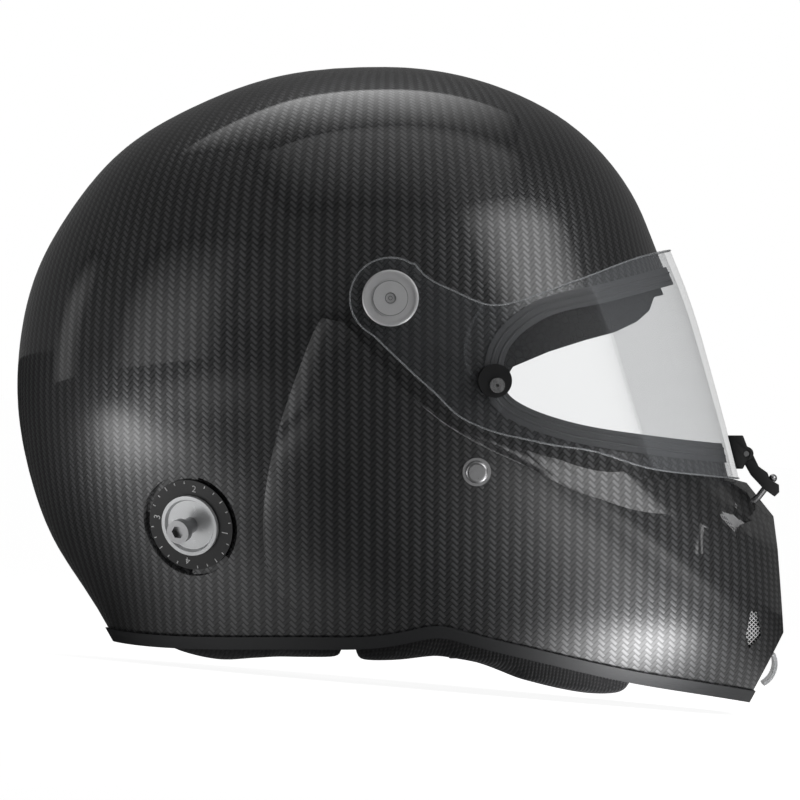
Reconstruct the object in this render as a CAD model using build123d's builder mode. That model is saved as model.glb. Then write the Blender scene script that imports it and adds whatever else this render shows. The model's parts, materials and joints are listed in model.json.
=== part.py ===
from build123d import *
import math
import os

# Driving sizes, in millimetres. X points forward, Z up, and the wearer's right is at -Y.
# Every place is measured from the visor pivot while the helmet is level, as it is worn.
length = 348.0
height = 287.0
half_width = 124.5
cheek_swell = 4.0
shell_wall = 3.5
seat_gap = 0.3
extent_tolerance = 0.05
overrun = 60.0

# How full the helmet is in a cut across it: 2 is an ellipse, more is squarer
fullness = 2.3
flank_shares = (0.0, 0.2, 0.4, 0.55, 0.68, 0.79, 0.88, 0.94, 0.975, 0.995)

# Side outline of the crown, from the top clockwise, as shares of length and height
crown_shares = [
    (-0.007, 0.369), (0.096, 0.354), (0.157, 0.330), (0.229, 0.283), (0.291, 0.211), (0.327, 0.140),
    (0.348, 0.076), (0.366, 0.024), (0.401, -0.105), (0.432, -0.237), (0.450, -0.330), (0.460, -0.430),
    (0.452, -0.545), (0.408, -0.662), (0.316, -0.760), (0.172, -0.822), (0.000, -0.836), (-0.150, -0.800),
    (-0.255, -0.705), (-0.330, -0.600), (-0.389, -0.478), (-0.439, -0.383), (-0.469, -0.288),
    (-0.487, -0.169), (-0.485, -0.074), (-0.462, 0.045), (-0.419, 0.140), (-0.352, 0.235),
    (-0.257, 0.306), (-0.147, 0.354),
]

# Side outline of the chin and cheek form that stands proud of the crown
chin_shares = [
    (0.000, 0.190), (0.095, 0.175), (0.210, 0.140), (0.339, 0.073), (0.420, -0.050), (0.465, -0.150),
    (0.495, -0.240), (0.5115, -0.345), (0.518, -0.435), (0.516, -0.530), (0.497, -0.620), (0.430, -0.720),
    (0.302, -0.798), (0.158, -0.836), (0.000, -0.829), (-0.160, -0.750), (-0.279, -0.589),
    (-0.305, -0.369), (-0.287, -0.199), (-0.250, -0.080), (-0.201, 0.000), (-0.150, 0.105), (-0.078, 0.167),
]

# The ledge behind the chin bar's crest: share of the half width, lip place, crest place
ledge_shares = [
    (0.000, (0.4655, -0.2900), (0.5029, -0.3467)),
    (0.538, (0.4052, -0.2840), (0.4598, -0.3659)),
    (0.651, (0.3678, -0.2787), (0.4282, -0.3589)),
    (0.815, (0.2931, -0.2625), (0.3592, -0.3415)),
    (0.916, (0.2098, -0.2430), (0.2644, -0.3049)),
    (0.951, (0.1638, -0.2310), (0.2126, -0.2805)),
    (0.979, (0.0833, -0.2000), (0.1621, -0.2526)),
    (0.999, (0.0345, -0.1620), (0.1118, -0.2244)),
    (1.020, (0.0240, -0.1490), (0.0600, -0.1900)),
    (1.100, (0.0220, -0.1470), (0.0300, -0.1700)),
]
lip_shares = [(0.0200, -0.1450), (-0.0600, -0.0380)]
ledge_top_share = 0.24
ledge_rear_share = -0.20
ledge_run_share = 0.045

# Chin front: a broad upright facet and a flat one below it
facet_top_shares = (0.5005, -0.3410)
facet_corner_shares = (0.5124, -0.5261)
facet_low_shares = (0.4690, -0.6230)
facet_radius = 150.0

# Bottom edge of the shell, and the line where the rubber trim starts above it
rim_shares = [
    (-0.460, -0.500), (-0.368, -0.530), (-0.262, -0.540), (-0.100, -0.540), (-0.020, -0.538), (0.030, -0.528),
    (0.060, -0.522), (0.100, -0.532), (0.170, -0.5535), (0.315, -0.594), (0.421, -0.616), (0.520, -0.640),
]
rim_depth_share = 0.20
rim_trim_height = 5.6
rim_trim_lip = 1.3

# Eyeport: the clear window, and the border of the gasket around it
window_shares = [
    (0.480, 0.058), (0.384, 0.029), (0.318, 0.007), (0.270, -0.008), (0.206, -0.027), (0.175, -0.049),
    (0.152, -0.080), (0.145, -0.116), (0.150, -0.146), (0.170, -0.166), (0.206, -0.184), (0.245, -0.197),
    (0.314, -0.211), (0.401, -0.224), (0.500, -0.234),
]
gasket_flange = 8.5
gasket_lip = 1.2
gasket_groove = 3.0

# Vents: the upper pairs in plan on the ledge, the lower ones in side view on the chin's corner
upper_vent_shares = [
    [(0.3670, 0.2980), (0.4000, 0.2560), (0.4195, 0.2590), (0.3850, 0.3060)],
    [(0.4200, 0.2170), (0.4450, 0.1520), (0.4700, 0.1180), (0.4480, 0.2140)],
]
upper_vent_depth_share = 0.40
lower_vent_shares = [(0.4520, -0.4890), (0.4760, -0.4910), (0.4810, -0.5300), (0.4650, -0.5500)]
lower_vent_inner = 16.0
lower_vent_outer = 64.0
mesh_depth = 1.6
mesh_thickness = 0.8
mesh_clearance = 0.15

# Head space and lining. Places are shares of length and height, as above
head_half_width = 86.0
comfort_thickness = 7.0
pad_inset = 6.0
face_half_width = 66.0
chin_liner_thickness = 24.0
head_shares = [
    (-0.057, 0.237), (0.072, 0.226), (0.178, 0.174), (0.241, 0.087), (0.259, 0.000), (0.270, -0.087),
    (0.287, -0.209), (0.310, -0.350), (0.310, -0.523), (0.259, -0.690), (0.000, -0.749), (-0.250, -0.700),
    (-0.322, -0.523), (-0.330, -0.380), (-0.372, -0.209), (-0.385, -0.105), (-0.368, 0.000),
    (-0.310, 0.122), (-0.201, 0.209),
]
face_shares = [
    (0.000, 0.105), (0.250, 0.060), (0.345, -0.120), (0.375, -0.350), (0.360, -0.600), (0.260, -0.780),
    (0.000, -0.850), (-0.250, -0.760), (-0.330, -0.500), (-0.320, -0.200), (-0.200, 0.040),
]
crown_edge_shares = [
    (0.400, 0.020), (0.343, 0.004), (0.336, -0.018), (0.319, -0.036), (0.291, -0.052), (0.257, -0.063),
    (0.205, -0.083), (0.158, -0.107), (0.128, -0.165), (0.050, -0.172), (-0.052, -0.245), (-0.075, -0.320), (-0.600, -0.320),
    (-0.600, 0.500), (0.400, 0.500),
]
brow_pad_rear_share = 0.205
cheek_pad_shares = [
    (-0.043, -0.262), (0.052, -0.185), (0.118, -0.180), (0.134, -0.215), (0.180, -0.272), (0.285, -0.318),
    (0.326, -0.360), (0.331, -0.540), (0.322, -0.590), (0.304, -0.608), (0.255, -0.609), (0.212, -0.600),
    (0.168, -0.587), (0.107, -0.566), (0.056, -0.557), (0.012, -0.554), (-0.052, -0.5525), (-0.063, -0.340),
]
neck_roll_shares = [
    (-0.069, -0.330), (-0.058, -0.5525), (-0.091, -0.5510), (-0.162, -0.5520), (-0.214, -0.5630),
    (-0.243, -0.5590), (-0.300, -0.535), (-0.500, -0.500), (-0.500, -0.330),
]
chin_liner_rear_share = 0.338
chin_liner_top_share = -0.262

# It is set down on the neck roll behind and the rubber trim under the chin
rest_rear_shares = (-0.214, -0.563)
rest_front_shares = (0.462, -0.6355)

# Visor: outline shares, its clearance over the shell and its pivot
visor_gap = 1.8
visor_front_gap = 3.0
visor_thickness = 3.0
visor_ear_radius = 18.2
visor_upper_shares = [
    (0.0300, 0.0560), (0.0490, 0.0310), (0.0840, 0.0100), (0.1320, -0.0110), (0.1570, -0.0070),
    (0.2100, 0.0150), (0.2620, 0.0380), (0.3090, 0.0600), (0.3420, 0.0720), (0.3700, 0.0790),
    (0.5200, 0.0900),
]
visor_lower_shares = [
    (0.5200, -0.2870), (0.4540, -0.2830), (0.3970, -0.2760), (0.3220, -0.2620), (0.2620, -0.2390),
    (0.2130, -0.2300), (0.1730, -0.2200), (0.1370, -0.2100), (0.1120, -0.1990), (0.0860, -0.1820),
    (0.0590, -0.1500), (0.0350, -0.1240), (0.0140, -0.1000), (-0.0220, -0.0580), (-0.0420, -0.0330),
]
bush_radius = 8.0
bush_flange_radius = 11.0
bush_flange = 1.4
bush_proud = 0.35
running_gap = 0.05
cap_radius = 12.7
cap_height = 3.2
cap_rim = 0.7
cap_step_radius = 7.8
cap_step = 0.8
cap_dimple_radius = 2.7
cap_dimple = 0.6
pivot_screw_radius = 3.0
pivot_nut_radius = 7.0
pivot_nut_height = 4.0

# Tear-off posts: an eccentric disc on its own screw
tear_off_shares = (0.1350, -0.1360)
tear_off_radius = 7.6
tear_off_height = 4.6
tear_off_groove = 1.4
tear_off_eccentricity = 2.2
tear_off_lean = 111.0
tear_off_screw_radius = 1.5
tear_off_head_radius = 3.4
tear_off_head_height = 1.0
tear_off_foot_radius = 3.0
tear_off_foot_height = 0.8

# Visor latch at the front, in the middle plane
latch_pivot_shares = (0.4650, -0.2440)
latch_end_radius = 2.7
latch_width = 9.0
latch_lever_shares = [
    (0.4735, -0.2450), (0.4810, -0.2640), (0.4925, -0.2740), (0.4960, -0.2850), (0.5075, -0.2930),
    (0.5080, -0.3050), (0.5020, -0.3120), (0.4880, -0.3000), (0.4710, -0.2780), (0.4570, -0.2480),
]
latch_slot = 4.6
latch_slot_shares = (0.4800, -0.2760)
latch_pin_radius = 1.2
latch_ear = 2.0
latch_play = 0.3
latch_base = 1.1
latch_base_shares = (-0.215, -0.268)
latch_ear_radius = 3.2
stud_foot_shares = (0.4850, -0.3060)
stud_lean = 38.0
stud_radius = 1.5
stud_sunk = 5.2
stud_height = 8.4
stud_ball_radius = 1.9

# Strap: rivets through the shell, hanger plates behind it, webbing and two D-rings
rivet_shares = (0.1110, -0.2710)
rivet_radius = 5.1
rivet_ring_radius = 6.4
rivet_ring_height = 0.8
rivet_dome_height = 2.0
rivet_shank_radius = 2.5
hanger_width = 26.0
hanger_height = 22.0
hanger_thickness = 1.6
hanger_seat = 1.6
rivet_tail_radius = 3.6
rivet_tail_height = 1.0
rivet_round = 1.5
strap_width = 24.0
strap_thickness = 1.8
strap_drop_shares = [(0.924, -0.255), (0.905, -0.310), (0.868, -0.385), (0.790, -0.455), (0.660, -0.520)]
strap_end_shares = {"right": 0.180, "left": 0.400}
strap_level_share = -0.5500
strap_slot_gap = 0.6
ring_wire_radius = 1.9
ring_width = 36.0
ring_reach = 22.0
ring_bar_bend = 4.0
ring_end_bend = 10.0
ring_pitch = 4.6
loop_gap = 0.05

# Tether anchor low at the rear
anchor_shares = (-0.2600, -0.3560)
anchor_recess_radius = 23.4
anchor_recess_depth = 3.4
anchor_boss_radius = 27.0
anchor_boss_depth = 8.0
anchor_ring_radius = 20.8
anchor_ring_height = 1.6
anchor_dish_radius = 13.8
anchor_dish_height = 3.6
anchor_dish_hollow = 1.6
anchor_post_radius = 5.4
anchor_neck_radius = 3.6
anchor_post_height = 13.0
anchor_head_height = 4.0
anchor_socket_radius = 3.0
anchor_socket_depth = 3.0
anchor_shank_radius = 3.0
anchor_nut_radius = 8.0
anchor_nut_height = 5.0

# Clear lip that curls off the chin's lower facet
deflector_top_shares = (0.4990, -0.5600)
deflector_middle_shares = (0.5020, -0.5780)
deflector_end_shares = (0.4860, -0.6080)
deflector_thickness = 1.4
deflector_width = 64.0

os.makedirs("parts", exist_ok=True)
pieces = []


def places(shares):
    return [(x * length, z * height) for x, z in shares]


def place(share_pair):
    return (share_pair[0] * length, share_pair[1] * height)


crown_outline = places(crown_shares)
chin_outline = places(chin_shares)


# A closed rounded body: the side outline shrinks about the pivot axis towards both flanks
def form(outline, flank, grow=0.0):
    stations = sorted({sign * share for share in flank_shares for sign in (-1, 1)})
    with BuildPart() as body:
        for share in stations:
            reach = (1 - abs(share) ** fullness) ** (1 / fullness)
            ring = []
            for x, z in outline:
                stretch = reach * (1 + grow / math.hypot(x, z))
                ring.append((x * stretch, z * stretch))
            with BuildSketch(Plane.XZ.offset(share * flank)):
                with BuildLine():
                    Spline(*ring, periodic=True)
                make_face()
        loft()
    return body.part


def crown_form(grow, flank_grow=None):
    return form(crown_outline, half_width + (grow if flank_grow is None else flank_grow), grow)


# Everything above the ledge line, moved down and back by the wall for the inside
def ledge_cutter(shift=0.0):
    with BuildPart() as cutter:
        rows = [(-share, lip, crest) for share, lip, crest in reversed(ledge_shares[1:])] + ledge_shares
        for share, lip, crest in rows:
            lip_x, lip_z = place(lip)
            crest_x, crest_z = place(crest)
            run = ledge_run_share * length / math.hypot(crest_x - lip_x, crest_z - lip_z)
            end = (crest_x + (crest_x - lip_x) * run, crest_z + (crest_z - lip_z) * run)
            top = ledge_top_share * height
            rear = ledge_rear_share * length
            corners = [end, (lip_x, lip_z)] + places(lip_shares)
            corners += [(rear, 0), (rear, top), (length, top), (length, end[1])]
            with BuildSketch(Plane.XZ.offset(share * half_width)):
                with BuildLine():
                    Polyline(*[(x - shift, z - shift) for x, z in corners], close=True)
                make_face()
        loft(ruled=True)
    return cutter.part


# What lies ahead of the chin's two facets
def facet_cutter(shift=0.0):
    top_x, top_z = place(facet_top_shares)
    corner_x, corner_z = place(facet_corner_shares)
    low_x, low_z = place(facet_low_shares)
    rise = math.hypot(corner_x - top_x, corner_z - top_z)
    front = Plane(
        origin=(corner_x - shift, 0, corner_z),
        x_dir=(0, 1, 0),
        z_dir=((top_x - corner_x) / rise, 0, (top_z - corner_z) / rise),
    )
    lower = Plane(
        origin=(corner_x - shift, 0, corner_z),
        x_dir=(0, 1, 0),
        z_dir=(corner_z - low_z, 0, low_x - corner_x),
    )
    with BuildPart() as cutter:
        with BuildSketch(front):
            with Locations((0, -overrun)):
                Rectangle(length, overrun * 2)
            with Locations((0, facet_radius)):
                Circle(facet_radius, mode=Mode.SUBTRACT)
        extrude(amount=length, both=True)
        with BuildSketch(lower):
            Rectangle(length, length)
        extrude(amount=overrun)
    return cutter.part


def side_prism(corners, curved=False):
    with BuildPart() as prism:
        with BuildSketch(Plane.XZ):
            with BuildLine():
                if curved:
                    Spline(*corners)
                    Line(corners[-1], corners[0])
                else:
                    Polyline(*corners, close=True)
            make_face()
        extrude(amount=length, both=True)
    return prism.part


# The eyeport, with each point of its outline moved out along the edge's own normal
def grown_window(grow):
    spots = places(window_shares)
    moved = []
    for (x, z), before, after in zip(spots, spots[:1] + spots[:-1], spots[1:] + spots[-1:]):
        run, rise = after[0] - before[0], after[1] - before[1]
        span = math.hypot(run, rise)
        moved.append((x + rise / span * grow, z - run / span * grow))
    with BuildPart() as prism:
        with BuildSketch(Plane.XZ):
            with BuildLine():
                edge = Spline(*moved)
                Line(edge @ 1, edge @ 0)
            make_face()
        extrude(amount=length, both=True)
    return prism.part


def below_rim(lift):
    corners = [(x, z + lift) for x, z in places(rim_shares)]
    floor = (rim_shares[-1][1] - rim_depth_share * 2) * height
    with BuildPart() as prism:
        with BuildSketch(Plane.XZ):
            with BuildLine():
                edge = Spline(*corners)
                Polyline(edge @ 1, (corners[-1][0], floor), (corners[0][0], floor), edge @ 0)
            make_face()
        extrude(amount=length, both=True)
    return prism.part


# Where a line along Y through a side-view place leaves a body, with the plane that lies on it there
def seat(body, spot, side):
    axis = Axis((spot[0], side * length, spot[1]), (0, -side, 0))
    hits = [hit for face in body.faces() for hit in face.find_intersection_points(axis)]
    point, normal = max(hits, key=lambda hit: side * hit[0].Y)
    if normal.Y * side < 0:
        normal = normal * -1
    forward = Vector(1, 0, 0) - normal * normal.X
    return Plane(origin=point, x_dir=forward, z_dir=normal)


# The vertical plane on one side, at a distance from the middle, facing outwards
def flank(side, distance):
    return Plane(origin=(0, side * distance, 0), x_dir=(1, 0, 0), z_dir=(0, side, 0))


def upper_vent_prism(grow, side):
    with BuildPart() as prism:
        for corners in upper_vent_shares:
            with BuildSketch(Plane.XY):
                with BuildLine():
                    Polyline(*[(x * length, side * y * length) for x, y in corners], close=True)
                make_face()
                if grow:
                    offset(amount=grow)
            extrude(amount=-upper_vent_depth_share * height)
    return prism.part


def lower_vent_prism(grow, side):
    with BuildPart() as prism:
        with BuildSketch(Plane.XZ.offset(-side * lower_vent_inner)):
            with BuildLine():
                Polyline(*places(lower_vent_shares), close=True)
            make_face()
            if grow:
                offset(amount=grow)
        extrude(amount=side * (lower_vent_inner - lower_vent_outer))
    return prism.part


sides = {"right": -1, "left": 1}


# The strap's middle line across the helmet, from its hanger down and in towards the middle
def strap_line(name):
    side = sides[name]
    drop = [(side * y * half_width, z * height) for y, z in strap_drop_shares]
    return drop + [(side * strap_end_shares[name] * half_width, strap_level_share * height)]


# The chin form with its ledge and facets, grown or shrunk
def chin_form(grow):
    with BuildPart() as body:
        add(form(chin_outline, half_width + cheek_swell + grow, grow))
        add(ledge_cutter(-grow), mode=Mode.SUBTRACT)
        add(facet_cutter(-grow), mode=Mode.SUBTRACT)
    return body.part


with BuildPart() as outer_body:
    add(crown_form(0))
    add(chin_form(0))

with BuildPart() as inner_body:
    add(crown_form(-shell_wall))
    add(chin_form(-shell_wall))

anchor_planes = {side: seat(outer_body.part, place(anchor_shares), side) for side in sides.values()}
rivet_planes = {side: seat(outer_body.part, place(rivet_shares), side) for side in sides.values()}

stud_x, stud_z = place(stud_foot_shares)
lean = math.radians(stud_lean)
stud_plane = Plane(origin=(stud_x, 0, stud_z), x_dir=(0, 1, 0), z_dir=(math.sin(lean), 0, math.cos(lean)))

with BuildPart() as cavity:
    add(inner_body.part)
    for plane in anchor_planes.values():
        with BuildSketch(plane):
            Circle(anchor_boss_radius)
        extrude(amount=-anchor_boss_depth, mode=Mode.SUBTRACT)

with BuildPart() as outer_shell:
    add(outer_body.part)
    add(below_rim(0), mode=Mode.SUBTRACT)
    add(grown_window(gasket_groove), mode=Mode.SUBTRACT)
    add(cavity.part, mode=Mode.SUBTRACT)
    for side in sides.values():
        add(upper_vent_prism(0, side), mode=Mode.SUBTRACT)
        add(lower_vent_prism(0, side), mode=Mode.SUBTRACT)
        with BuildSketch(anchor_planes[side].offset(-anchor_recess_depth)):
            Circle(anchor_recess_radius)
        extrude(amount=overrun, mode=Mode.SUBTRACT)
        with BuildSketch(anchor_planes[side]):
            Circle(anchor_shank_radius + running_gap)
        extrude(amount=-anchor_boss_depth * 2, mode=Mode.SUBTRACT)
        with BuildSketch(rivet_planes[side]):
            Circle(rivet_shank_radius + running_gap)
        extrude(amount=-anchor_boss_depth * 2, mode=Mode.SUBTRACT)
        with BuildSketch(flank(side, half_width + overrun)):
            Circle(pivot_screw_radius + running_gap)
        extrude(amount=-overrun * 2, mode=Mode.SUBTRACT)
    with BuildSketch(stud_plane.offset(-stud_sunk)):
        Circle(stud_radius + running_gap)
    extrude(amount=overrun, mode=Mode.SUBTRACT)
outer_shell.part.label = "outer_shell"
pieces.append(outer_shell.part)


# Visor and its pivots. The flat ends of the rounded bodies lie at the last flank share
pole_share = flank_shares[-1]
shell_pole = half_width * pole_share
inner_pole = (half_width - shell_wall) * pole_share
visor_pole = (half_width + visor_gap + visor_thickness) * pole_share
cap_seat = visor_pole + bush_proud
visor_outer = crown_form(visor_front_gap + visor_thickness, visor_gap + visor_thickness)
tear_off_planes = {side: seat(visor_outer, place(tear_off_shares), side) for side in sides.values()}

with BuildPart() as visor:
    add(visor_outer)
    add(crown_form(visor_front_gap, visor_gap), mode=Mode.SUBTRACT)
    with BuildPart(mode=Mode.PRIVATE) as visor_outline:
        with BuildSketch(Plane.XZ):
            with BuildLine():
                upper = Spline(*places(visor_upper_shares))
                lower = Spline(*places(visor_lower_shares))
                Line(upper @ 1, lower @ 0)
                Line(lower @ 1, upper @ 0)
            make_face()
            Circle(visor_ear_radius)
            Circle(bush_radius + running_gap, mode=Mode.SUBTRACT)
        extrude(amount=length, both=True)
    add(visor_outline.part, mode=Mode.INTERSECT)
    for plane in tear_off_planes.values():
        with BuildSketch(plane):
            Circle(tear_off_screw_radius + running_gap)
        extrude(amount=-visor_thickness * 2, mode=Mode.SUBTRACT)
        with BuildSketch(plane.offset(tear_off_foot_height - visor_thickness)):
            Circle(tear_off_foot_radius + running_gap)
        extrude(amount=-visor_thickness, mode=Mode.SUBTRACT)
visor.part.label = "visor"
pieces.append(visor.part)

for name, side in sides.items():
    with BuildPart() as pivot_bush:
        with BuildSketch(flank(side, shell_pole)):
            Circle(bush_flange_radius)
        extrude(amount=bush_flange)
        with BuildSketch(flank(side, shell_pole)):
            Circle(bush_radius)
        extrude(amount=cap_seat - shell_pole)
        with BuildSketch(flank(side, shell_pole)):
            Circle(pivot_screw_radius + running_gap)
        extrude(amount=overrun, mode=Mode.SUBTRACT)
    pivot_bush.part.label = f"pivot_bush_{name}"
    pieces.append(pivot_bush.part)

    with BuildPart() as pivot_cap:
        with BuildSketch(flank(side, cap_seat)):
            Circle(cap_radius)
        extrude(amount=cap_height)
        rim = pivot_cap.faces().sort_by(Axis.Y)[-1 if side > 0 else 0].edges()
        chamfer(rim, cap_rim)
        with BuildSketch(flank(side, cap_seat + cap_height)):
            Circle(cap_radius - cap_rim * 2)
            Circle(cap_step_radius, mode=Mode.SUBTRACT)
        extrude(amount=-cap_step, mode=Mode.SUBTRACT)
        with BuildSketch(flank(side, cap_seat + cap_height)):
            Circle(cap_dimple_radius)
        extrude(amount=-cap_dimple, mode=Mode.SUBTRACT)
        with BuildSketch(flank(side, cap_seat)):
            Circle(pivot_screw_radius)
        extrude(amount=inner_pole - pivot_nut_height - cap_seat)
    pivot_cap.part.label = f"pivot_cap_{name}"
    pieces.append(pivot_cap.part)

    with BuildPart() as pivot_nut:
        with BuildSketch(flank(side, inner_pole)):
            RegularPolygon(pivot_nut_radius, 6)
            Circle(pivot_screw_radius + running_gap, mode=Mode.SUBTRACT)
        extrude(amount=-pivot_nut_height)
    pivot_nut.part.label = f"pivot_nut_{name}"
    pieces.append(pivot_nut.part)

    # Tear-off post: its disc sits off the screw, so that a turn takes up the film's slack
    plane = tear_off_planes[side]
    lean = math.radians(tear_off_lean)
    centre = (tear_off_eccentricity * math.cos(lean), -side * tear_off_eccentricity * math.sin(lean))
    with BuildPart() as tear_off_post:
        with BuildSketch(plane.offset(seat_gap)):
            with Locations(centre):
                Circle(tear_off_radius)
        extrude(amount=tear_off_height)
        with BuildSketch(plane.offset(seat_gap + tear_off_groove)):
            with Locations(centre):
                Circle(tear_off_radius)
                Circle(tear_off_radius - tear_off_groove, mode=Mode.SUBTRACT)
        extrude(amount=tear_off_groove, mode=Mode.SUBTRACT)
        with BuildSketch(plane):
            Circle(tear_off_screw_radius + running_gap)
        extrude(amount=overrun, mode=Mode.SUBTRACT)
    tear_off_post.part.label = f"tear_off_post_{name}"
    pieces.append(tear_off_post.part)

    with BuildPart() as tear_off_screw:
        with BuildSketch(plane.offset(seat_gap * 2 + tear_off_height)):
            Circle(tear_off_head_radius)
            Circle(tear_off_screw_radius / 2, mode=Mode.SUBTRACT)
        extrude(amount=tear_off_head_height)
        with BuildSketch(plane.offset(seat_gap * 2 + tear_off_height)):
            Circle(tear_off_screw_radius)
            Circle(tear_off_screw_radius / 2, mode=Mode.SUBTRACT)
        extrude(amount=tear_off_foot_height - seat_gap * 2 - tear_off_height - visor_thickness)
        with BuildSketch(plane.offset(tear_off_foot_height - visor_thickness)):
            Circle(tear_off_foot_radius)
        extrude(amount=-tear_off_foot_height)
    tear_off_screw.part.label = f"tear_off_screw_{name}"
    pieces.append(tear_off_screw.part)

# Latch: a bracket and pin on the visor, a forked lever, and a ball stud on the chin bar
latch_x, latch_z = place(latch_pivot_shares)
ear_start = latch_width / 2 + latch_play
with BuildPart() as latch_bracket:
    with BuildSketch(Plane.XZ):
        with Locations((latch_x, latch_z)):
            Circle(latch_ear_radius)
        with BuildLine():
            base_top, base_end = (share * height for share in latch_base_shares)
            rear = latch_x - latch_ear_radius * 3
            Polyline(
                (rear, base_top), (latch_x - latch_ear_radius / 2, base_top),
                (latch_x + latch_ear_radius / 2, latch_z), (latch_x - latch_ear_radius / 2, base_end),
                (rear, base_end), close=True,
            )
        make_face()
    extrude(amount=ear_start + latch_ear, both=True)
    with BuildSketch(Plane.XZ):
        Rectangle(length * 2, height * 2)
    extrude(amount=ear_start, both=True, mode=Mode.SUBTRACT)
    with BuildPart(mode=Mode.PRIVATE) as latch_foot:
        with BuildSketch(Plane.XZ):
            with Locations((latch_x, (base_top + base_end) / 2)):
                Rectangle(length / 4, base_top - base_end)
        extrude(amount=ear_start + latch_ear, both=True)
        add(crown_form(visor_front_gap + visor_thickness + latch_base, visor_gap), mode=Mode.INTERSECT)
    add(latch_foot.part)
    with BuildSketch(Plane.XZ):
        with Locations((latch_x, latch_z)):
            Circle(latch_pin_radius + running_gap)
    extrude(amount=length, both=True, mode=Mode.SUBTRACT)
    add(visor_outer, mode=Mode.SUBTRACT)
latch_bracket.part.label = "latch_bracket"
pieces.append(latch_bracket.part)

with BuildPart() as latch_pin:
    with BuildSketch(Plane.XZ):
        with Locations((latch_x, latch_z)):
            Circle(latch_pin_radius)
    extrude(amount=ear_start + latch_ear, both=True)
latch_pin.part.label = "latch_pin"
pieces.append(latch_pin.part)

with BuildPart() as latch_lever:
    with BuildSketch(Plane.XZ):
        with BuildLine():
            Polyline(*places(latch_lever_shares), close=True)
        make_face()
        with Locations((latch_x, latch_z)):
            Circle(latch_end_radius)
            Circle(latch_pin_radius + running_gap, mode=Mode.SUBTRACT)
    extrude(amount=latch_width / 2, both=True)
    with BuildSketch(Plane.XZ):
        with Locations(place(latch_slot_shares)):
            Rectangle(length, height, align=(Align.MIN, Align.MAX))
    extrude(amount=latch_slot / 2, both=True, mode=Mode.SUBTRACT)
latch_lever.part.label = "latch_lever"
pieces.append(latch_lever.part)

with BuildPart() as latch_stud:
    with BuildSketch(stud_plane.offset(-stud_sunk)):
        Circle(stud_radius)
    extrude(amount=stud_sunk + stud_height)
    with Locations(stud_plane.offset(stud_height)):
        Sphere(stud_ball_radius)
latch_stud.part.label = "latch_stud"
pieces.append(latch_stud.part)

# Strap anchorage on each side, and the strap: its short half holds two D-rings
strap_x = place(rivet_shares)[0]
ring_side = "left"
ring_eye = ring_wire_radius + loop_gap
ring_y = strap_end_shares[ring_side] * half_width - ring_eye - strap_thickness
ring_z = strap_level_share * height
for name, side in sides.items():
    plane = rivet_planes[side]
    hanger_face = plane.offset(-shell_wall - hanger_seat)
    with BuildPart() as strap_rivet:
        with BuildSketch(plane):
            Circle(rivet_ring_radius)
        extrude(amount=rivet_ring_height)
        with BuildSketch(plane.offset(rivet_ring_height)):
            Circle(rivet_radius)
        extrude(amount=rivet_dome_height)
        fillet(strap_rivet.faces().sort_by(Axis.Y)[-1 if side > 0 else 0].edges(), rivet_round)
        with BuildSketch(plane):
            Circle(rivet_shank_radius)
        extrude(amount=-shell_wall - hanger_seat - hanger_thickness)
        with BuildSketch(hanger_face.offset(-hanger_thickness)):
            Circle(rivet_tail_radius)
        extrude(amount=-rivet_tail_height)
        add(outer_body.part, mode=Mode.SUBTRACT)
        with BuildSketch(plane):
            Circle(rivet_shank_radius)
        extrude(amount=-shell_wall - hanger_seat - hanger_thickness)
        with BuildSketch(hanger_face.offset(-hanger_thickness)):
            Circle(rivet_tail_radius)
        extrude(amount=-rivet_tail_height)
    strap_rivet.part.label = f"strap_rivet_{name}"
    pieces.append(strap_rivet.part)

    with BuildPart() as strap_hanger:
        with BuildSketch(hanger_face):
            Rectangle(hanger_width, hanger_height)
            Circle(rivet_shank_radius + running_gap, mode=Mode.SUBTRACT)
        extrude(amount=-hanger_thickness)
        add(outer_shell.part, mode=Mode.SUBTRACT)
    strap_hanger.part.label = f"strap_hanger_{name}"
    pieces.append(strap_hanger.part)

    with BuildPart() as chin_strap:
        with BuildSketch(Plane.YZ.offset(strap_x)):
            with BuildLine():
                Spline(*strap_line(name))
            trace(line_width=strap_thickness)
            if name == ring_side:
                with Locations((ring_y, ring_z)):
                    SlotCenterToCenter(ring_pitch, (ring_eye + strap_thickness) * 2, rotation=90)
                    SlotCenterToCenter(ring_pitch, ring_eye * 2, rotation=90, mode=Mode.SUBTRACT)
        extrude(amount=strap_width / 2, both=True)
    chin_strap.part.label = f"chin_strap_{name}"
    pieces.append(chin_strap.part)

for name, step in {"upper": 1, "lower": -1}.items():
    ring_plane = Plane.XY.offset(ring_z + step * ring_pitch / 2)
    half_ring = ring_width / 2 - ring_wire_radius
    with BuildPart() as d_ring:
        with BuildLine(ring_plane):
            ring_path = FilletPolyline(
                (strap_x + half_ring, ring_y), (strap_x + half_ring, ring_y - ring_reach),
                (strap_x - half_ring, ring_y - ring_reach), (strap_x - half_ring, ring_y), close=True,
                radius=[ring_bar_bend, ring_end_bend, ring_end_bend, ring_bar_bend],
            )
        with BuildSketch(Plane(origin=ring_path @ 0, z_dir=ring_path % 0)):
            Circle(ring_wire_radius)
        sweep()
    d_ring.part.label = f"d_ring_{name}"
    pieces.append(d_ring.part)

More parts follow.
